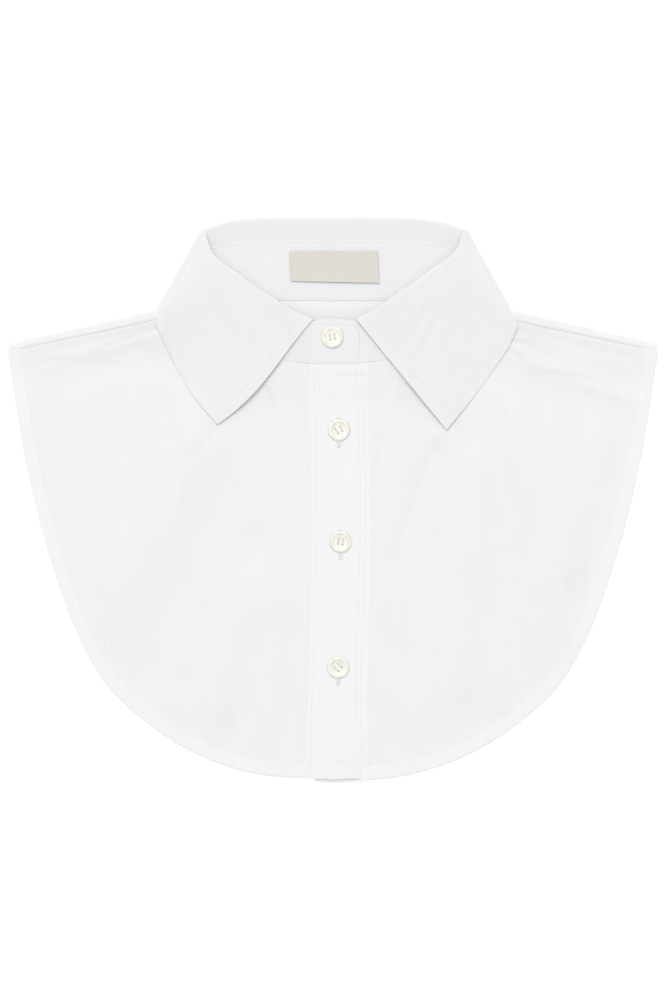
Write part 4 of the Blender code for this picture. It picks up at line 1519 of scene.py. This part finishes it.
class COLLAR_OT_buttonholes(bpy.types.Operator):
    """Makes the purled buttonholes under the buttons"""

    bl_idname = "collar.buttonholes"
    bl_label = "Buttonholes"

    def execute(self, context):
        sizes = context.scene.collar_sizes
        thickness = in_mm(sizes.thread)
        half = in_mm(sizes.buttonhole) / 2.0
        place = over_band(sizes)
        for number, (x, y) in enumerate(BAND_BUTTONS, start=2):
            thread = bmesh.new()
            column, row = self.band_pair(place, x, y - BUTTONHOLE_LOW)
            centre = place(column, row) + UP * BAND_CLOTH / 2.0
            self.purl(thread, centre, np.array([0.0, 1.0, 0.0]), half, thickness)
            new_piece(f"buttonhole_{number}", thread, "thread")
        thread = bmesh.new()
        x, y = STAND_BUTTON
        foot = button_places()[0][2] - BUTTON_LIFT
        half_slit = STAND_BUTTONHOLE / 2.0
        self.purl(thread, np.array([x, y, foot]), np.array([1.0, 0.0, 0.0]), half_slit, thickness)
        new_piece("buttonhole_1", thread, "thread")
        return {"FINISHED"}

    @staticmethod
    def band_pair(place, x, y):
        """The column and row of the band's point at x and y."""
        column, row = 0.5, 0.5
        for _ in range(12):
            here = place(column, row)
            row += (here[1] - y) / (place(column, 0.0)[1] - place(column, 1.0)[1])
            column += (x - here[0]) / (place(1.0, row)[0] - place(0.0, row)[0])
        return column, row

    @staticmethod
    def purl(thread, centre, along, half, thickness):
        """Close stitches down both sides of a slit, and a bar at each end."""
        across = np.cross(UP, along)
        pitch = thickness * 0.85
        count = int(2.0 * half / pitch)
        for number in range(count + 1):
            middle = centre + along * (number * pitch - half) + UP * 0.05
            for side in (-1.0, 1.0):
                inner = middle + across * side * 0.12
                outer = middle + across * side * 1.15
                add_stitch(thread, inner, outer, UP, thickness)
        for end in (-half, half):
            for shift in (0.0, 0.35):
                middle = centre + along * (end + math.copysign(shift, end)) + UP * 0.08
                add_stitch(thread, middle - across * 1.2, middle + across * 1.2, UP, thickness)


class COLLAR_OT_stitching(bpy.types.Operator):
    """Makes the rows of stitches: hems, button band, stand, leaf and shoulders"""

    bl_idname = "collar.stitching"
    bl_label = "Stitching"

    def execute(self, context):
        sizes = context.scene.collar_sizes
        self.pitch = in_mm(sizes.stitch)
        self.thickness = in_mm(sizes.thread)
        self.hems(sizes)
        self.bands(sizes)
        self.stand(sizes)
        self.leaf(sizes)
        return {"FINISHED"}

    def sew(self, name, paths, slot):
        thread = bmesh.new()
        for path in paths:
            stitch_along(thread, path, self.pitch, self.thickness)
        return new_piece(name, thread, "thread")

    def hems(self, sizes):
        hem = in_mm(sizes.hem)
        stitched_at = in_mm(sizes.hem_stitch)
        row = 2.0 - (stitched_at - PANEL_WALL / 2.0) / (hem - PANEL_WALL / 2.0)
        fronts = [
            ("front_hem_stitches_right", -1.0, -BAND_RIGHT_X + 1.0, RIGHT_SHORTER),
            ("front_hem_stitches_left", 1.0, UNDER_BAND_LEFT_X + SEAM_GAP, LEFT_SHORTER),
        ]
        for name, side, band_x, shorter_by in fronts:
            place = functools.partial(front_point, side, band_x, shorter_by, hem, stitched_at)
            path = along_surface(place, [(share, row) for share in steps(0.01, 0.99, 200)], 0.0)
            path = [(point, UP) for point, _ in path]
            self.sew(name, [path], "shirting")
        back = functools.partial(back_point, hem)
        path = [(back(share, row) + UP * 0.08, -UP) for share in steps(0.01, 0.99, 240)]
        self.sew("back_hem_stitches", [path], "shirting")
        paths = []
        for column in (-1.78, 2.78):
            paths.append([(back(column, share), UP) for share in steps(0.03, 1.9, 60)])
        self.sew("shoulder_stitches", paths, "shirting")

    def bands(self, sizes):
        place = over_band(sizes)
        inset = in_mm(sizes.band_stitch)
        face = UP * BAND_CLOTH / 2.0
        paths = []
        for left in (True, False):
            path = []
            for row in steps(0.0, 0.998, 120):
                width = place(1.0, row)[0] - place(0.0, row)[0]
                column = inset / width if left else 1.0 - inset / width
                path.append((place(column, row) + face, UP))
            paths.append(path)
        bottom = place(0.5, 1.0)[1]
        row = bisect(lambda share: place(0.5, share)[1] > bottom + BAND_HEM, 0.5, 1.0)
        paths.append([(place(column, row) + face, UP) for column in steps(0.02, 0.98, 30)])
        self.sew("placket_stitches", paths, "shirting_doubled")

    def stand(self, sizes):
        inset = in_mm(sizes.edge_stitch)
        half_wall = COLLAR_CLOTH / 2.0

        def path(turns, from_bottom, outside):
            made = []
            for turn in turns:
                bottom, top, _, _, out = collar_section(turn)
                height = float(np.linalg.norm(top - bottom))
                share = inset / height if from_bottom else 1.0 - inset / height
                normal = out if outside else -out
                made.append((stand_point(turn, share) + normal * half_wall, normal))
            return made

        inside = steps(-1.0, 1.0, 120)
        front = [-turn for turn in steps(2.9, 3.97, 60)]
        paths = [path(inside, True, False), path(inside, False, False), path(front, True, True)]
        paths.append(path(front, False, True))
        end = [stand_point(-3.93, row) + UP * half_wall for row in steps(0.12, 0.86, 16)]
        paths.append([(point, UP) for point in end])
        self.sew("stand_stitches", paths, "shirting_stiffened")

    def leaf(self, sizes):
        inset = in_mm(sizes.leaf_stitch)
        half_wall = COLLAR_CLOTH / 2.0
        paths = []

        def surface(turn, row):
            out = collar_section(turn)[4]
            return leaf_point(inset, turn, row) + out * half_wall, out

        def stitched_row(turn):
            _, _, core, edge, _ = collar_section(turn)
            return 3.0 - inset / float(np.linalg.norm(edge - core))

        def far_from_front(turn):
            row = stitched_row(turn)
            return front_edge_distance(turn, leaf_base(turn, row)) > inset

        ends = []
        for side in (-1.0, 1.0):
            last = bisect(lambda turn: far_from_front(side * turn), 2.3, 3.0)
            ends.append(side * last)
            lowest = stitched_row(side * last)
            path = []
            for row in steps(2.06, lowest, 80):
                at = bisect(
                    lambda turn: front_edge_distance(side, leaf_base(side * turn, row)) > inset,
                    2.0,
                    3.0,
                )
                path.append(surface(side * at, row))
            paths.append(path)
        around = [surface(turn, stitched_row(turn)) for turn in steps(ends[0], ends[1], 500)]
        paths.append(around)
        self.sew("leaf_stitches", paths, "shirting_stiffened")


class COLLAR_OT_stage(bpy.types.Operator):
    """Makes the floor, the light and the camera"""

    bl_idname = "collar.stage"
    bl_label = "Stage"

    def execute(self, context):
        stage = context.scene.collar_stage
        self.floor()
        self.lights(stage)
        self.camera(stage)
        context.scene.view_settings.view_transform = "Standard"
        context.scene.view_settings.look = "None"
        return {"FINISHED"}

    @staticmethod
    def floor():
        ground = bmesh.new()
        bmesh.ops.create_grid(ground, x_segments=1, y_segments=1, size=FLOOR_HALF_SIZE)
        bmesh.ops.translate(ground, verts=ground.verts, vec=(0.0, 0.0, FLOOR_LEVEL * MM))
        mesh = mesh_of("floor", ground)
        mesh.materials.append(collar_material("paper"))
        linked_object("floor", mesh)

    @staticmethod
    def lights(stage):
        world = bpy.data.worlds.new("studio")
        world.use_nodes = True
        background = world.node_tree.nodes["Background"]
        background.inputs["Color"].default_value = (1.0, 1.0, 1.0, 1.0)
        background.inputs["Strength"].default_value = stage.sky
        bpy.context.scene.world = world
        lamp = bpy.data.lights.new("key light", "AREA")
        lamp.shape = "SQUARE"
        lamp.size = KEY_SIZE
        lamp.energy = stage.key_power
        light = linked_object("key light", lamp)
        light.location = KEY_PLACE
        light.rotation_euler = Vector(KEY_PLACE).to_track_quat("Z", "Y").to_euler()

    @staticmethod
    def camera(stage):
        height = in_mm(stage.camera_height)
        lens = bpy.data.cameras.new("camera")
        lens.sensor_width = SENSOR
        lens.lens = SENSOR * height / (IMAGE_LONG_SIDE * PIXEL)
        lens.clip_start = 0.1
        lens.clip_end = 20.0
        camera = linked_object("camera", lens)
        camera.location = (CAMERA_SHIFT_X * MM, 0.0, (height + CLOTH_LEVEL) * MM)
        bpy.context.scene.camera = camera


class COLLAR_PT_panel(bpy.types.Panel):
    """Lists the pieces and their sizes and colours"""

    bl_idname = "COLLAR_PT_panel"
    bl_label = "Shirt collar"
    bl_space_type = "VIEW_3D"
    bl_region_type = "UI"
    bl_category = "Collar"

    def draw(self, context):
        layout = self.layout
        for group in (
            context.scene.collar_sizes,
            context.scene.collar_colours,
            context.scene.collar_stage,
        ):
            box = layout.box()
            for name in group.__annotations__:
                box.prop(group, name)
        for operator in OPERATORS:
            layout.operator(operator.bl_idname)


OPERATORS = (
    COLLAR_OT_leaf,
    COLLAR_OT_back_panel,
    COLLAR_OT_front_panels,
    COLLAR_OT_button_band,
    COLLAR_OT_stand,
    COLLAR_OT_label,
    COLLAR_OT_buttonholes,
    COLLAR_OT_buttons,
    COLLAR_OT_stitching,
    COLLAR_OT_stage,
)
GROUPS = (CollarSizes, CollarColours, CollarStage)


def register():
    for item in (*GROUPS, *OPERATORS, COLLAR_PT_panel):
        bpy.utils.register_class(item)
    bpy.types.Scene.collar_sizes = PointerProperty(type=CollarSizes)
    bpy.types.Scene.collar_colours = PointerProperty(type=CollarColours)
    bpy.types.Scene.collar_stage = PointerProperty(type=CollarStage)


def unregister():
    del bpy.types.Scene.collar_stage
    del bpy.types.Scene.collar_colours
    del bpy.types.Scene.collar_sizes
    for item in (COLLAR_PT_panel, *OPERATORS[::-1], *GROUPS[::-1]):
        bpy.utils.unregister_class(item)


def main():
    register()
    for operator in OPERATORS:
        category, name = operator.bl_idname.split(".")
        getattr(getattr(bpy.ops, category), name)()


if __name__ == "__main__":
    main()
